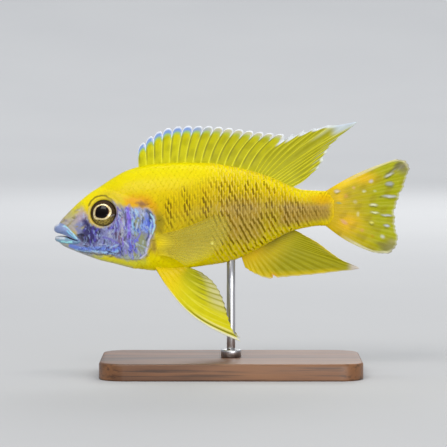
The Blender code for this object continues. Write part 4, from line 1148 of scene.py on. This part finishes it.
web_finish = fin_finish("fin_web")
gap = 12
columns = (SPINES - 1) * gap + 1
roots = median_roots((DORSAL_BASE[0], SOFT_DORSAL_START), columns, BACK_Z, -ROOT_SINK)
tips = on_middle(along(SPINE_TIPS, np.linspace(0, 1, columns)))
fin = fin_sheet(roots, tips, gap, 44, lappet_edge, bow=(0.0, SPINE_BOW))
clouds = np.sin(0.9 * fin.s + 0.5 * fin.z) + np.sin(1.3 * fin.z - 0.5 * fin.s)
front_ones = 1 - fade(fin.s, 46.0, 60.0)
lappet = 1 - fade(fin.from_edge, 1.5 - 0.3 * fin.share, 2.2)
lappet_colour = painted((196, 192, 150), (LAPPET_BLUE, front_ones))
off_notch = fin.off_ray + 3.0 * fade(fin.from_edge, 1.5, 2.1)
rim = 1 - fade(np.minimum(fin.from_edge, off_notch), 0.35, 0.80)
paint = painted(
    FIN_OLIVE,
    (FIN_LEMON, 0.25 + 0.4 * fade(fin.s, 64.0, 40.0) + 0.25 * fin.out),
    # Painted shadow: a thin dark line on the web beside each spine
    ((112, 108, 0), 0.75 * bell(fin.in_gap - 0.17, 0.08) * fade(fin.from_root, 1.5, 4.0)),
    ((134, 130, 0), 0.30 * fade(clouds, -0.4, 1.6)),
    (FIN_RAY, 0.95 * bell(fin.off_ray, 0.26)),
    ((150, 200, 120), 0.8 * (1 - fade(fin.from_edge, 2.0, 3.2)) * (0.4 + 0.6 * front_ones)),
    (lappet_colour, 0.95 * lappet),
    (FIN_WHITE, 0.95 * rim),
)
fin_piece("dorsal_spiny_web", fin, paint, "dorsal_fin_spiny", web_finish, "fin_membrane")


def soft_edge(in_gap, order):
    """Web drawn back between the ray tips, and more deeply so in front."""
    return (np.abs(2 * in_gap - 1) ** 1.6 - 0.6) * (1 + 1.4 * fade(-order, -60, -14))


gap = 14
columns = SOFT_GAPS * gap + 1
roots = median_roots((SOFT_DORSAL_START - 0.2, DORSAL_BASE[1]), columns, BACK_Z, -ROOT_SINK)
tips = on_middle(through(SOFT_DORSAL_EDGE, columns))
fin = fin_sheet(roots, tips, gap, 60, soft_edge, bow=(1.2, -0.6), sway=(0.0, 1.2, 2.0), forking=0.22)
white_deep = 1.3 + 1.5 * (1 - fade(fin.share, 0.10, 0.25))
white_top = (1 - fade(fin.share, 0.40, 0.50)) * (1 - fade(fin.from_edge / white_deep, 0.7, 1.6))
white_rear = fade(fin.share, 0.45, 0.55) * (1 - fade(fin.from_edge, 0.6, 1.9))
white_lines = fade(fin.share, 0.30, 0.4) * fade(fin.out, 0.62, 0.85) * bell(fin.in_gap - 0.3, 0.14)
point = fade(fin.s, 97.0, 100.5) * fade(fin.z - 0.45 * (fin.s - 97.0), 83.0, 84.4)
paint = painted(
    (176, 172, 0),
    (FIN_OLIVE, 0.60 * fade(fin.out, 0.1, 0.6)),
    ((224, 218, 44), 0.80 * bell(fin.off_ray, 0.22)),
    ((128, 126, 10), 0.45 * bell(fin.in_gap - 0.5, 0.12) * fade(fin.out, 0.25, 0.5)),
    ((226, 232, 240), 0.92 * white_top),
    ((196, 208, 220), 0.85 * point),
    ((230, 236, 232), 0.90 * white_rear),
    ((210, 220, 190), 0.6 * white_lines),
)
fin_piece("dorsal_soft_web", fin, paint, "dorsal_fin_soft", web_finish, "fin_membrane")

# The anal fin: three short spines in front, then soft rays that draw out to a point behind. It is
# orange yellow in front and olive behind, and grows from a low sheath of skin.

ANAL_BASE = (65.8, 82.7)
ANAL_EDGE = (
    (67.6, 37.5), (71.0, 35.4), (76.3, 33.7), (82.3, 34.3), (91.0, 35.1), (100.0, 36.2), (107.9, 37.4),
    (101.8, 40.3), (97.6, 43.2), (93.2, 46.5), (88.0, 49.3),
)
ANAL_GAPS, DEEP_NOTCH = 20, 38


def anal_edge(in_gap, order):
    """A nearly even edge with one deep notch behind the hard spines."""
    return 0.3 * np.abs(2 * in_gap - 1) ** 2 - 0.3 - 1.3 * bell(order - DEEP_NOTCH, 1.6)


gap = 8
columns = ANAL_GAPS * gap + 1
roots = median_roots(ANAL_BASE, columns, BELLY_Z, ROOT_SINK)
tips = on_middle(through(ANAL_EDGE, columns))
fin = fin_sheet(roots, tips, gap, 56, anal_edge, bow=(0.0, 0.4), sway=(0.0, -0.8, 2.0), forking=0.2,
                ray=0.25)
low_edge = (1 - fade(fin.from_edge, 1.0, 4.0)) * (1 - fade(fin.s, 96.0, 104.0))
pale = (1 - fade(fin.from_edge, 0.2, 0.8)) * fade(fin.share, 0.06, 0.14)
rear_lines = fade(fin.share, 0.62, 0.72) * fade(fin.out, 0.60, 0.9) * bell(fin.in_gap - 0.3, 0.14)
near_body = painted((212, 178, 0), ((122, 112, 0), fade(fin.s, 70.0, 78.0)))
paint = painted(
    (206, 180, 0),
    ((154, 148, 0), fade(fin.s - 0.6 * (fin.z - 40), 70.0, 84.0)),
    ((222, 192, 4), 0.6 * low_edge),
    ((200, 192, 4), 0.30 * fin.ridge),
    ((132, 128, 6), 0.18 * bell(fin.in_gap - 0.5, 0.12) * fade(fin.out, 0.3, 0.6)),
    ((226, 214, 136), 0.85 * pale),
    ((206, 196, 190), 0.85 * fade(fin.s, 103.0, 106.0)),
    ((206, 206, 120), 0.6 * rear_lines),
    ((216, 130, 24), 0.7 * (spot_on(fin, 77.6, 34.6, 0.9, 0.9) + spot_on(fin, 71.5, 43.4, 0.8, 0.8))),
    (near_body, 0.85 * (1 - fade(fin.from_root, 1.5, 6.5))),
)
fin_piece("anal_web", fin, paint, "anal_fin", web_finish, "fin_membrane")

# The tail fin: a fan of forked rays, orange yellow at its base and olive green behind, with rows of
# pale blue and pink spots, streaks of white by the edge, and pale upper and lower margins.

TAIL_ROOT_S = 95.4
TAIL_ROOT_Z = (64.4, 52.8)
TAIL_EDGE = (
    (119.6, 75.6), (122.2, 76.0), (124.4, 75.4), (125.5, 73.6), (125.4, 71.4), (124.3, 68.6), (123.4, 65.8),
    (122.2, 63.0), (121.0, 59.8), (120.5, 56.2), (120.6, 53.0), (121.4, 49.6), (121.5, 46.6), (120.8, 44.4),
    (119.0, 42.8), (116.4, 42.4), (113.2, 42.8),
)
TAIL_RAYS, TAIL_BOW, TAIL_SWAY = 15, 1.0, (1.5, 1.0, 2.0)
TAIL_MARGINS = (
    ((96.8, 65.1), (101.0, 67.4), (105.2, 69.5), (110.2, 71.9), (115.1, 74.1), (119.0, 75.6),
        (121.5, 75.9), (123.2, 75.7), (124.6, 74.6), (125.2, 73.2)),
    ((98.9, 50.1), (101.7, 48.7), (105.6, 46.5), (109.5, 44.4), (112.3, 43.2), (114.8, 42.8),
        (117.9, 42.8), (119.4, 43.4)),
)
TAIL_CORNERS = (
    ((121.5, 75.7), (125.4, 75.0), (125.4, 70.7), (122.9, 70.7), (120.8, 72.8)),
    ((115.1, 45.3), (119.4, 47.4), (121.5, 46.0), (120.1, 42.8), (115.8, 42.5)),
)
SPOT_SHADE, SHADED_SPOT = (104, 100, 10), 0.84
# Spots: side-view place, half length, half height, tilt in degrees, colour and strength
TAIL_SPOTS = (
    (99.9, 64.7, 1.13, 0.67, 0, (236, 220, 200), 0.9),
    (100.6, 60.5, 1.27, 0.46, 5, (120, 158, 120), 0.7),
    (105.9, 65.8, 0.64, 0.64, 0, (240, 186, 140), 0.6),
    (103.1, 63.0, 0.92, 0.92, 20, (228, 164, 90), 0.5),
    (106.3, 60.8, 0.92, 0.78, 0, (208, 196, 150), 0.6),
    (109.5, 64.7, 0.78, 0.56, 0, (220, 226, 190), 0.8),
    (111.9, 68.1, 0.92, 0.78, 0, (204, 198, 206), 0.8),
    (113.3, 64.7, 0.71, 0.49, 0, (196, 206, 160), 0.6),
    (107.3, 56.6, 0.56, 0.99, 10, (226, 222, 176), 0.7),
    (102.4, 53.8, 1.77, 0.71, 30, (218, 160, 130), 0.8),
    (108.8, 50.9, 0.92, 0.78, 20, (216, 150, 90), 0.5),
    (112.8, 59.8, 1.62, 0.53, 4, (230, 232, 190), 0.95),
    (112.8, 59.1, 1.55, 0.25, 4, (96, 100, 20), 0.8),
    (113.3, 57.1, 1.77, 0.42, 4, (230, 234, 180), 0.95),
    (117.6, 56.1, 2.33, 0.46, 4, (200, 206, 208), 0.85),
    (112.1, 53.6, 0.99, 0.60, 5, (244, 236, 120), 0.95),
    (112.3, 52.7, 0.92, 0.28, 5, (120, 110, 20), 0.6),
    (117.6, 52.4, 1.27, 0.53, 5, (204, 212, 226), 0.95),
    (117.2, 51.4, 1.27, 0.25, 8, (96, 100, 40), 0.6),
    (116.0, 48.5, 0.92, 0.85, 30, (206, 210, 200), 0.8),
    (112.5, 48.7, 0.92, 0.64, 30, (182, 130, 20), 0.6),
    (118.6, 62.8, 3.04, 0.60, 3, (200, 204, 206), 0.9),
    (115.3, 62.6, 0.64, 0.42, 3, (90, 90, 30), 0.6),
    (118.5, 67.2, 1.69, 0.85, 0, (176, 186, 196), 0.85),
    (119.2, 66.3, 0.78, 0.49, 0, (96, 104, 90), 0.5),
    (118.6, 71.4, 2.47, 0.67, -28, (84, 86, 44), 0.8),
    (118.3, 70.4, 2.12, 0.53, -24, (200, 202, 194), 0.95),
    (117.9, 69.5, 1.98, 0.32, -24, (90, 90, 30), 0.8),
    (120.1, 72.1, 1.77, 0.28, -34, (176, 174, 150), 0.8),
    (121.1, 73.5, 2.47, 0.99, -42, (92, 88, 56), 0.8),
    (122.9, 73.2, 1.62, 1.41, -60, (128, 122, 92), 0.8),
    (121.8, 72.5, 1.59, 0.35, -42, (160, 156, 130), 0.6),
    (115.8, 45.8, 3.18, 1.06, 14, (120, 110, 10), 0.75),
    (119.4, 46.7, 1.77, 1.06, 0, (168, 160, 96), 0.7),
)


def tail_edge(in_gap, order):
    """An edge that waves a little along the fin, with the ray tips standing out from the web."""
    waves = 0.35 * np.sin(0.37 * order) * np.sin(0.11 * order + 1)
    return waves + 0.15 * np.cos(2 * math.tau * in_gap) - 0.3


gap = 12
columns = (TAIL_RAYS - 1) * gap + 1
heights = np.linspace(*TAIL_ROOT_Z, columns)
roots = np.stack([np.full(columns, TAIL_ROOT_S), np.zeros(columns), heights], axis=1)
tips = on_middle(along(TAIL_EDGE, np.linspace(0, 1, columns)))
fin = fin_sheet(roots, tips, gap, 72, tail_edge, bow=(TAIL_BOW, -TAIL_BOW), sway=TAIL_SWAY,
                forking=0.24, flesh=(3.0, 3.6), ray=0.25)
by_middle = np.sqrt(1 - (2 * fin.share - 1) ** 2 * 0.98)
fin.thick *= 1 - (1 - by_middle) * (1 - fade(fin.from_root, 2.0, 9.0))
s, z = fin.s, fin.z
mottles = np.sin(0.8 * s + 0.7 * z) + np.sin(1.1 * z - 0.6 * s + 1.0) + 0.5 * np.sin(1.9 * s - 1.3 * z)
off_top, off_low = (line_distance(s, z, margin) for margin in TAIL_MARGINS)
rear_margin = 1 - fade(fin.from_edge, 0.3, 0.9)
lobes = rear_margin * (fade(z, 70.0, 73.0) + fade(47.0 - z, 0.0, 3.0))
spotted_s, spotted_z = wander(s, z, 0.06)
broken = 1 - 0.35 * fin.ridge
spots = []
for spot_s, spot_z, long, tall, tilt, colour, strength in TAIL_SPOTS:
    lean_s, lean_z = math.cos(math.radians(tilt)), math.sin(math.radians(tilt))
    u = ((spotted_s - spot_s) * lean_s - (spotted_z - spot_z) * lean_z) / long
    v = ((spotted_s - spot_s) * lean_z + (spotted_z - spot_z) * lean_s) / tall
    if strength > SHADED_SPOT:
        spots.append((SPOT_SHADE, 0.6 * (1 - fade(np.hypot(u / 1.1, (v + 0.3) / 1.7), 0.5, 1.2))))
    spots.append((colour, broken * strength * (1 - fade(np.hypot(u, v), 0.15, 1.25))))
paint = painted(
    (196, 167, 0),
    ((188, 170, 0), fade(s, 100.0, 108.0)),
    ((168, 170, 2), fade(s - 0.10 * np.abs(z - 59), 106.0, 116.0)),
    ((240, 186, 0), 0.8 * spot_on(fin, 104.0, 53.5, 4.0, 3.2)),
    ((240, 188, 0), 0.8 * spot_on(fin, 109.0, 69.3, 5.0, 2.2)),
    ((236, 190, 0), 0.7 * spot_on(fin, 100.5, 62.5, 2.5, 2.2)),
    ((226, 214, 50), 0.15 * fin.ridge * fade(fin.out, 0.1, 0.4)),
    ((120, 112, 0), 0.15 * bell(fin.in_gap - 0.5, 0.12) * fade(fin.out, 0.15, 0.4)),
    ((142, 122, 0), 0.36 * fade(mottles, 0.0, 2.0)),
    ((126, 120, 76), 0.80 * sum(within(s, z, corner, 1.8) for corner in TAIL_CORNERS)),
    ((250, 212, 6), 0.8 * (1 - fade(off_top, 0.8, 3.0)) * (1 - fade(s, 103.0, 112.0))),
    # A band along the tail's root: partly its own colour, partly painted shade that matches the shaded stem
    ((208, 175, 0), 0.8 * (1 - fade(fin.from_root, 2.5, 6.0))),
    *spots,
    ((222, 214, 160), 0.85 * (1 - fade(off_top, 0.25, 0.95)) * fade(s, 100.0, 112.0)),
    ((216, 212, 170), 0.80 * (1 - fade(off_low, 0.30, 0.95)) * fade(s, 100.0, 108.0)),
    ((208, 208, 176), 0.55 * rear_margin),
    ((166, 160, 140), 0.7 * np.clip(lobes, 0, 1)),
)
fin_piece("tail_web", fin, paint, "tail_fin", fin_finish("tail_web"), "tail_fin_membrane")

# The pelvic fins: a pair of thin webs, each with a hard white-edged spine in front and soft forked
# rays that hang back to a long point. Each grows from the belly, where its fleshy root is sunk.

PELVIC_ROOT = ((35.7, 2.6), (45.6, 1.2))
PELVIC_TIPS = ((65.9, 12.0), (63.4, 15.4), (61.4, 20.9), (59.3, 27.3), (56.6, 32.0), (52.4, 35.6))
PELVIC_SPLAY, PELVIC_BOW, PELVIC_RAYS = (6.5, 3.0), (-4.3, 0.0), 7
(s_front, y_front), (s_rear, y_rear) = PELVIC_ROOT


def forked_edge(deep):
    """An edge on which both tips of each forked ray stand out from the web, by twice this depth."""
    return lambda in_gap, order: deep * np.cos(2 * math.tau * in_gap) - deep


gap = 14
columns = (PELVIC_RAYS - 1) * gap + 1
share = np.linspace(0, 1, columns)
for side_name, side in (("left", -1.0), ("right", 1.0)):
    root_s = s_front + (s_rear - s_front) * share
    root_y = y_front + (y_rear - y_front) * share
    roots = np.stack([root_s, side * root_y, smooth(root_s, STATION_S, BELLY_Z) + ROOT_SINK], axis=1)
    tips = on_middle(along(PELVIC_TIPS, share))
    tips[:, 1] = side * np.interp(share, (0, 1), PELVIC_SPLAY)
    fin = fin_sheet(roots, tips, gap, 84, forked_edge(0.35), bow=PELVIC_BOW, forking=0.26,
                    flesh=(2.2, 1.9))
    fin.thick += 0.35 * np.exp(-fin.share / 0.02) * (1 - 0.5 * fin.out)
    olive = fade(fin.share, 0.30, 0.75) * fade(fin.out, 0.12, 0.35)
    between_rays = bell(np.abs(fin.in_gap - 0.5) - 0.24, 0.08)
    dark = between_rays * fade(fin.share, 0.30, 0.5) * fade(fin.out, 0.45, 0.7)
    pale = fade(fin.share, 0.30, 0.55) * fade(fin.out, 0.68, 0.90) * (1 - between_rays)
    leading = 1 - fade(fin.share, 0.02, 0.055)
    paint = painted(
        (236, 208, 0),
        ((216, 208, 8), fade(fin.out, 0.1, 0.5)),
        ((180, 180, 10), 0.80 * olive),
        ((240, 234, 90), 0.45 * fin.ridge * fade(fin.out, 0.2, 0.5)),
        ((104, 100, 30), 0.60 * dark),
        ((216, 212, 170), 0.65 * pale),
        ((232, 232, 206), 0.9 * leading * fade(fin.out, 0.12, 0.3)),
        ((70, 66, 20), 0.85 * bell(fin.share - 0.085, 0.018) * fade(fin.out, 0.35, 0.6)),
        ((238, 232, 150), 0.7 * bell(fin.share - 0.13, 0.02) * fade(fin.out, 0.5, 0.75)),
    )
    fin_piece(f"pelvic_{side_name}_web", fin, paint, f"{side_name}_pelvic_fin", web_finish, "fin_membrane")

# The pectoral fins: a pair of nearly clear fans of thin forked rays, laid back over the flank. Each
# spreads from a fleshy yellow stalk that grows from the flank behind the gill cover.

PECTORAL_ROOT = ((36.9, 49.6), (37.6, 42.9))
PECTORAL_TIPS = (
    (57.0, 57.2), (61.4, 55.8), (62.6, 52.4), (61.4, 48.5), (58.0, 44.4), (53.0, 40.8), (46.5, 38.8),
)
PECTORAL_BOW, PECTORAL_FLARE, PECTORAL_RAYS = (-0.8, 0.8), 6.0, 13
fan_finish = Finish("clear_fin_web", roughness=0.34, specular_ior_level=0.25, coat_roughness=0.12)
grain = fan_finish.noise(fan_finish.place(), 2600.0, 3.0)
fan_finish.drive("Base Color", fan_finish.times(fan_finish.attribute("paint"), 0.88 + 0.24 * grain))
fan_finish.drive("Alpha", fan_finish.attribute("solidity", "Fac"))
fan_finish.drive("Roughness", 0.26 + 0.2 * grain)
fan_finish.bump(grain, 0.00005)
(s_top, z_top), (s_low, z_low) = PECTORAL_ROOT
gap = 12
columns = (PECTORAL_RAYS - 1) * gap + 1
share = np.linspace(0, 1, columns)
for side_name, side in (("left", -1.0), ("right", 1.0)):
    root_s, root_z = s_top + (s_low - s_top) * share, z_top + (z_low - z_top) * share
    back, belly = smooth(root_s, STATION_S, BACK_Z), smooth(root_s, STATION_S, BELLY_Z)
    widest = belly + (back - belly) * profile(WIDEST_SHARE, root_s)
    flank_turn = np.arccos((root_z - widest) / (widest - belly))
    root_y = body_at(root_s, flank_turn)[:, 1] - ROOT_SINK
    roots = np.stack([root_s, side * root_y, root_z], axis=1)
    tips = on_middle(along(PECTORAL_TIPS, share))
    tips[:, 1] = roots[:, 1]
    flare = (side * PECTORAL_FLARE, side * PECTORAL_FLARE, 0.6)
    fin = fin_sheet(roots, tips, gap, 60, forked_edge(0.25), bow=PECTORAL_BOW, sway=flare,
                    forking=0.22, flesh=(2.6, 2.0))
    stalk = (1 - fade(fin.from_root + 1.0 * np.sin(9.0 * fin.share + 1.0), -2.0, 13.0)) ** 1.6
    glint = spot_on(fin, 55.9, 47.0, 0.55, 0.55)
    paint = painted(
        (194, 182, 76),
        ((212, 202, 84), 0.6 * fin.ridge),
        ((240, 216, 10), stalk),
        ((246, 240, 120), 0.9 * glint),
    )
    off_ends = fade(np.minimum(fin.share, 1 - fin.share), 0.0, 0.10)
    solid = 0.30 + 0.22 * fin.ridge * (1 - 0.4 * fin.out) - 0.14 * fade(fin.out, 0.65, 1.0)
    solid *= 0.45 + 0.55 * fade(fin.from_edge, 0.0, 2.5) * off_ends
    solid = np.clip(np.maximum(solid, stalk) + 0.4 * glint, 0, 1)
    fin_piece(f"pectoral_{side_name}_web", fin, paint, f"{side_name}_pectoral_fin", fan_finish,
              "clear_fin_membrane", solidity=solid)

# The display stand: an oiled walnut base with rounded corners and edges, a brushed steel rod that
# runs up from it into the belly and carries the fish, and a steel collar round the rod's foot.

BASE_LENGTH, BASE_WIDTH, BASE_HEIGHT = 92.0, 52.0, 6.0
BASE_CORNER, BASE_BEVEL, TOP_INSET, TOP_SHARE = 9.0, 0.9, 8.0, 0.9
ROD_RADIUS, ROD_TOP, ROD_BOTTOM = 1.5, 44.0, 2.5
COLLAR_RADIUS, COLLAR_HEIGHT, COLLAR_BEVEL, COLLAR_FOOT = 3.6, 2.6, 0.5, 0.05
BASE_COLUMNS, ROD_COLUMNS, COLLAR_COLUMNS = 240, 64, 96


def turned(profile, columns):
    """Rings of points from a profile of radius and height turned once round the upright axis."""
    radius, height = np.array(profile, float).T
    turn = np.arange(columns) * math.tau / columns
    ring = radius[:, None] * np.cos(turn), radius[:, None] * np.sin(turn), height[:, None]
    return np.stack(np.broadcast_arrays(*ring), axis=-1)


def stand_piece(name, rings, finish, slot, replaced):
    """A piece of rings round the rod's axis, with a centre point at each end."""
    points, faces = closed_tube(rings, [rings[0].mean(axis=0), rings[-1].mean(axis=0)])
    return new_piece(name, points + (SNOUT_TIP, 0.0, 0.0), faces, finish, slot, (replaced,))


def rounded_edge(outer, inner, low, high, steps=7):
    """A quarter-round from the outer side up to the top, as insets and heights."""
    quarter = np.linspace(0, math.pi / 2, steps)
    return list(zip(outer + (inner - outer) * (1 - np.cos(quarter)), low + (high - low) * np.sin(quarter)))


turn = np.arange(BASE_COLUMNS) * math.tau / BASE_COLUMNS
spread = np.stack([np.cos(turn), np.sin(turn)], axis=1)
quarter = np.sign(np.round(spread, 9))
centres = (np.array([BASE_LENGTH, BASE_WIDTH]) / 2 - BASE_CORNER) * quarter
insets = [(0.35, 0.0), (0.0, 0.35)] + rounded_edge(0.0, BASE_BEVEL, BASE_HEIGHT - BASE_BEVEL, BASE_HEIGHT)
insets += [(2.5, BASE_HEIGHT), (TOP_INSET, BASE_HEIGHT)]
rings = []
for inset, height in insets:
    corner = max(BASE_CORNER - inset, 1.0)
    outline = (centres * TOP_SHARE if inset == TOP_INSET else centres) + corner * spread
    rings.append(np.concatenate([outline, np.full((BASE_COLUMNS, 1), height)], axis=1))
wood_finish = Finish("oiled_walnut", roughness=0.42, specular_ior_level=0.45, coat_roughness=0.25,
                     coat_weight=0.15)
at = wood_finish.place()
warp = wood_finish.noise(at, 34.0, 3.0, (0.35, 1.0, 1.0))
bands = wood_finish.noise(at, 150.0, 4.0, (0.05, 1.0, 1.0), 0.6)
fibres = wood_finish.noise(at, 900.0, 3.0, (0.03, 1.0, 1.0), 0.65)
tint = wood_finish.mix(bands.between(0.34, 0.66), (70, 42, 24), (128, 84, 50))
tint = wood_finish.mix(warp.between(0.40, 0.70) * 0.5, tint, (150, 104, 64))
tint = wood_finish.mix((1 - fibres.between(0.34, 0.50)) * 0.6, tint, (40, 24, 14))
wood_finish.drive("Base Color", tint)
wood_finish.drive("Roughness", 0.34 + 0.22 * fibres)
wood_finish.bump(fibres * 0.7 + bands * 0.3, 0.00008)
base = stand_piece("display_base", np.array(rings), wood_finish, "stand_wood", "stand_base")
base.data.set_sharp_from_angle(angle=math.radians(35))

steel_finish = Finish("brushed_steel", metallic=1.0, anisotropic=0.4)
at = steel_finish.place()
brushing = steel_finish.noise(at, 2400.0, 3.0, (1.0, 1.0, 0.03), 0.6)
smudge = steel_finish.noise(at, 220.0, 2.0)
steel_finish.drive("Base Color", steel_finish.mix(brushing, (176, 176, 178), (214, 214, 216)))
steel_finish.drive("Roughness", 0.20 + 0.16 * brushing + 0.08 * smudge)
steel_finish.bump(brushing, 0.00002)
rod = [(ROD_RADIUS - 0.2, ROD_BOTTOM), (ROD_RADIUS, ROD_BOTTOM + 0.2), (ROD_RADIUS, 15.0)]
rod += [(ROD_RADIUS, 30.0), (ROD_RADIUS, ROD_TOP - 0.3), (ROD_RADIUS - 0.3, ROD_TOP)]
stand_piece("display_rod", turned(rod, ROD_COLUMNS), steel_finish, "stand_metal", "stand_rod")
low = BASE_HEIGHT + COLLAR_FOOT
high = low + COLLAR_HEIGHT
collar = [(ROD_RADIUS + 0.05, low), (COLLAR_RADIUS - 0.15, low), (COLLAR_RADIUS, low + 0.15)]
collar += rounded_edge(COLLAR_RADIUS, COLLAR_RADIUS - COLLAR_BEVEL, high - COLLAR_BEVEL, high)
collar += [(ROD_RADIUS + 0.35, high), (ROD_RADIUS + 0.05, high - 0.3)]
stand_piece("display_collar", turned(collar, COLLAR_COLUMNS), steel_finish, "stand_metal", "stand_collar")

# The room: a plain pale floor that rises gently far away, soft lamps and the camera, which looks at
# the fish's left side from a little above.

FLOOR_FLAT, FLOOR_REACH, FLOOR_RISE, FLOOR_COLUMNS = 1.7, 5.0, 1.5, 96
VIEW_CENTRE = (-0.00265, 0.0, 0.05324)
VIEW_WIDTH, VIEW_DISTANCE, VIEW_TILT = 0.15784, 1.0, math.radians(3.0)
SENSOR = 36.0
radius = np.concatenate([np.linspace(0.02, FLOOR_FLAT, 12), np.linspace(FLOOR_FLAT, FLOOR_REACH, 40)[1:]])
height = FLOOR_RISE * (np.clip(radius - FLOOR_FLAT, 0, None) / (FLOOR_REACH - FLOOR_FLAT)) ** 2
points = turned(np.stack([radius, height], axis=1), FLOOR_COLUMNS).reshape(-1, 3)
faces = tube_faces(len(radius), FLOOR_COLUMNS).tolist()
faces += pole_faces(0, FLOOR_COLUMNS, len(points)).tolist()
mesh = bpy.data.meshes.new("floor")
mesh.from_pydata(points.tolist() + [(0, 0, 0)], [], faces)
mesh.shade_smooth()
floor = bpy.data.objects.new("floor", mesh)
bpy.context.scene.collection.objects.link(floor)
floor_finish = Finish("floor_paint", roughness=0.85, specular_ior_level=0.2)
mottle = floor_finish.noise(floor_finish.place(), 6.0, 3.0)
darker, lighter = np.array((0.50, 0.505, 0.515)), np.array((0.535, 0.54, 0.545))
floor_finish.drive("Base Color", floor_finish.mix(mottle, darker, lighter))
mesh.materials.append(floor_finish.material)

world = bpy.data.worlds.new("room")
world.use_nodes = True
world.node_tree.nodes["Background"].inputs["Color"].default_value = (0.86, 0.90, 0.96, 1.0)
world.node_tree.nodes["Background"].inputs["Strength"].default_value = 0.50
bpy.context.scene.world = world

# Name, place, aim, power, width, height and colour of each lamp
FISH, FAR_WALL = (0.0, 0.0, 0.06), (0.0, 3.4, 0.35)
LAMPS = (
    ("key", (-0.45, -1.15, 1.10), FISH, 10.6, 0.70, 0.50, (1.0, 0.97, 0.92)),
    ("fill", (0.50, -1.30, 0.08), FISH, 9.0, 1.10, 0.24, (0.98, 0.98, 1.0)),
    ("top", (0.05, 0.05, 1.20), FISH, 5.0, 0.80, 0.50, (1.0, 0.99, 0.97)),
    ("back", (0.30, 1.30, 0.80), FISH, 6.0, 0.80, 0.60, (1.0, 1.0, 1.0)),
    ("far", (0.0, 1.5, 1.9), FAR_WALL, 44.0, 3.00, 0.60, (1.0, 1.0, 1.0)),
)
for name, place, aim, power, wide, tall, tint in LAMPS:
    lamp = bpy.data.lights.new(name, "AREA")
    lamp.shape = "RECTANGLE"
    lamp.size, lamp.size_y, lamp.energy, lamp.color = wide, tall, power, tint
    holder = bpy.data.objects.new(name, lamp)
    holder.location = place
    holder.rotation_euler = (Vector(aim) - Vector(place)).to_track_quat("-Z", "Y").to_euler()
    bpy.context.scene.collection.objects.link(holder)

camera = bpy.data.cameras.new("camera")
camera.sensor_width = SENSOR
camera.lens = SENSOR * VIEW_DISTANCE / VIEW_WIDTH
camera.clip_start = 0.05
viewer = bpy.data.objects.new("camera", camera)
viewer.location = (
    VIEW_CENTRE[0],
    -VIEW_DISTANCE * math.cos(VIEW_TILT),
    VIEW_CENTRE[2] + VIEW_DISTANCE * math.sin(VIEW_TILT),
)
viewer.rotation_euler = (math.pi / 2 - VIEW_TILT, 0.0, 0.0)
bpy.context.scene.collection.objects.link(viewer)
bpy.context.scene.camera = viewer
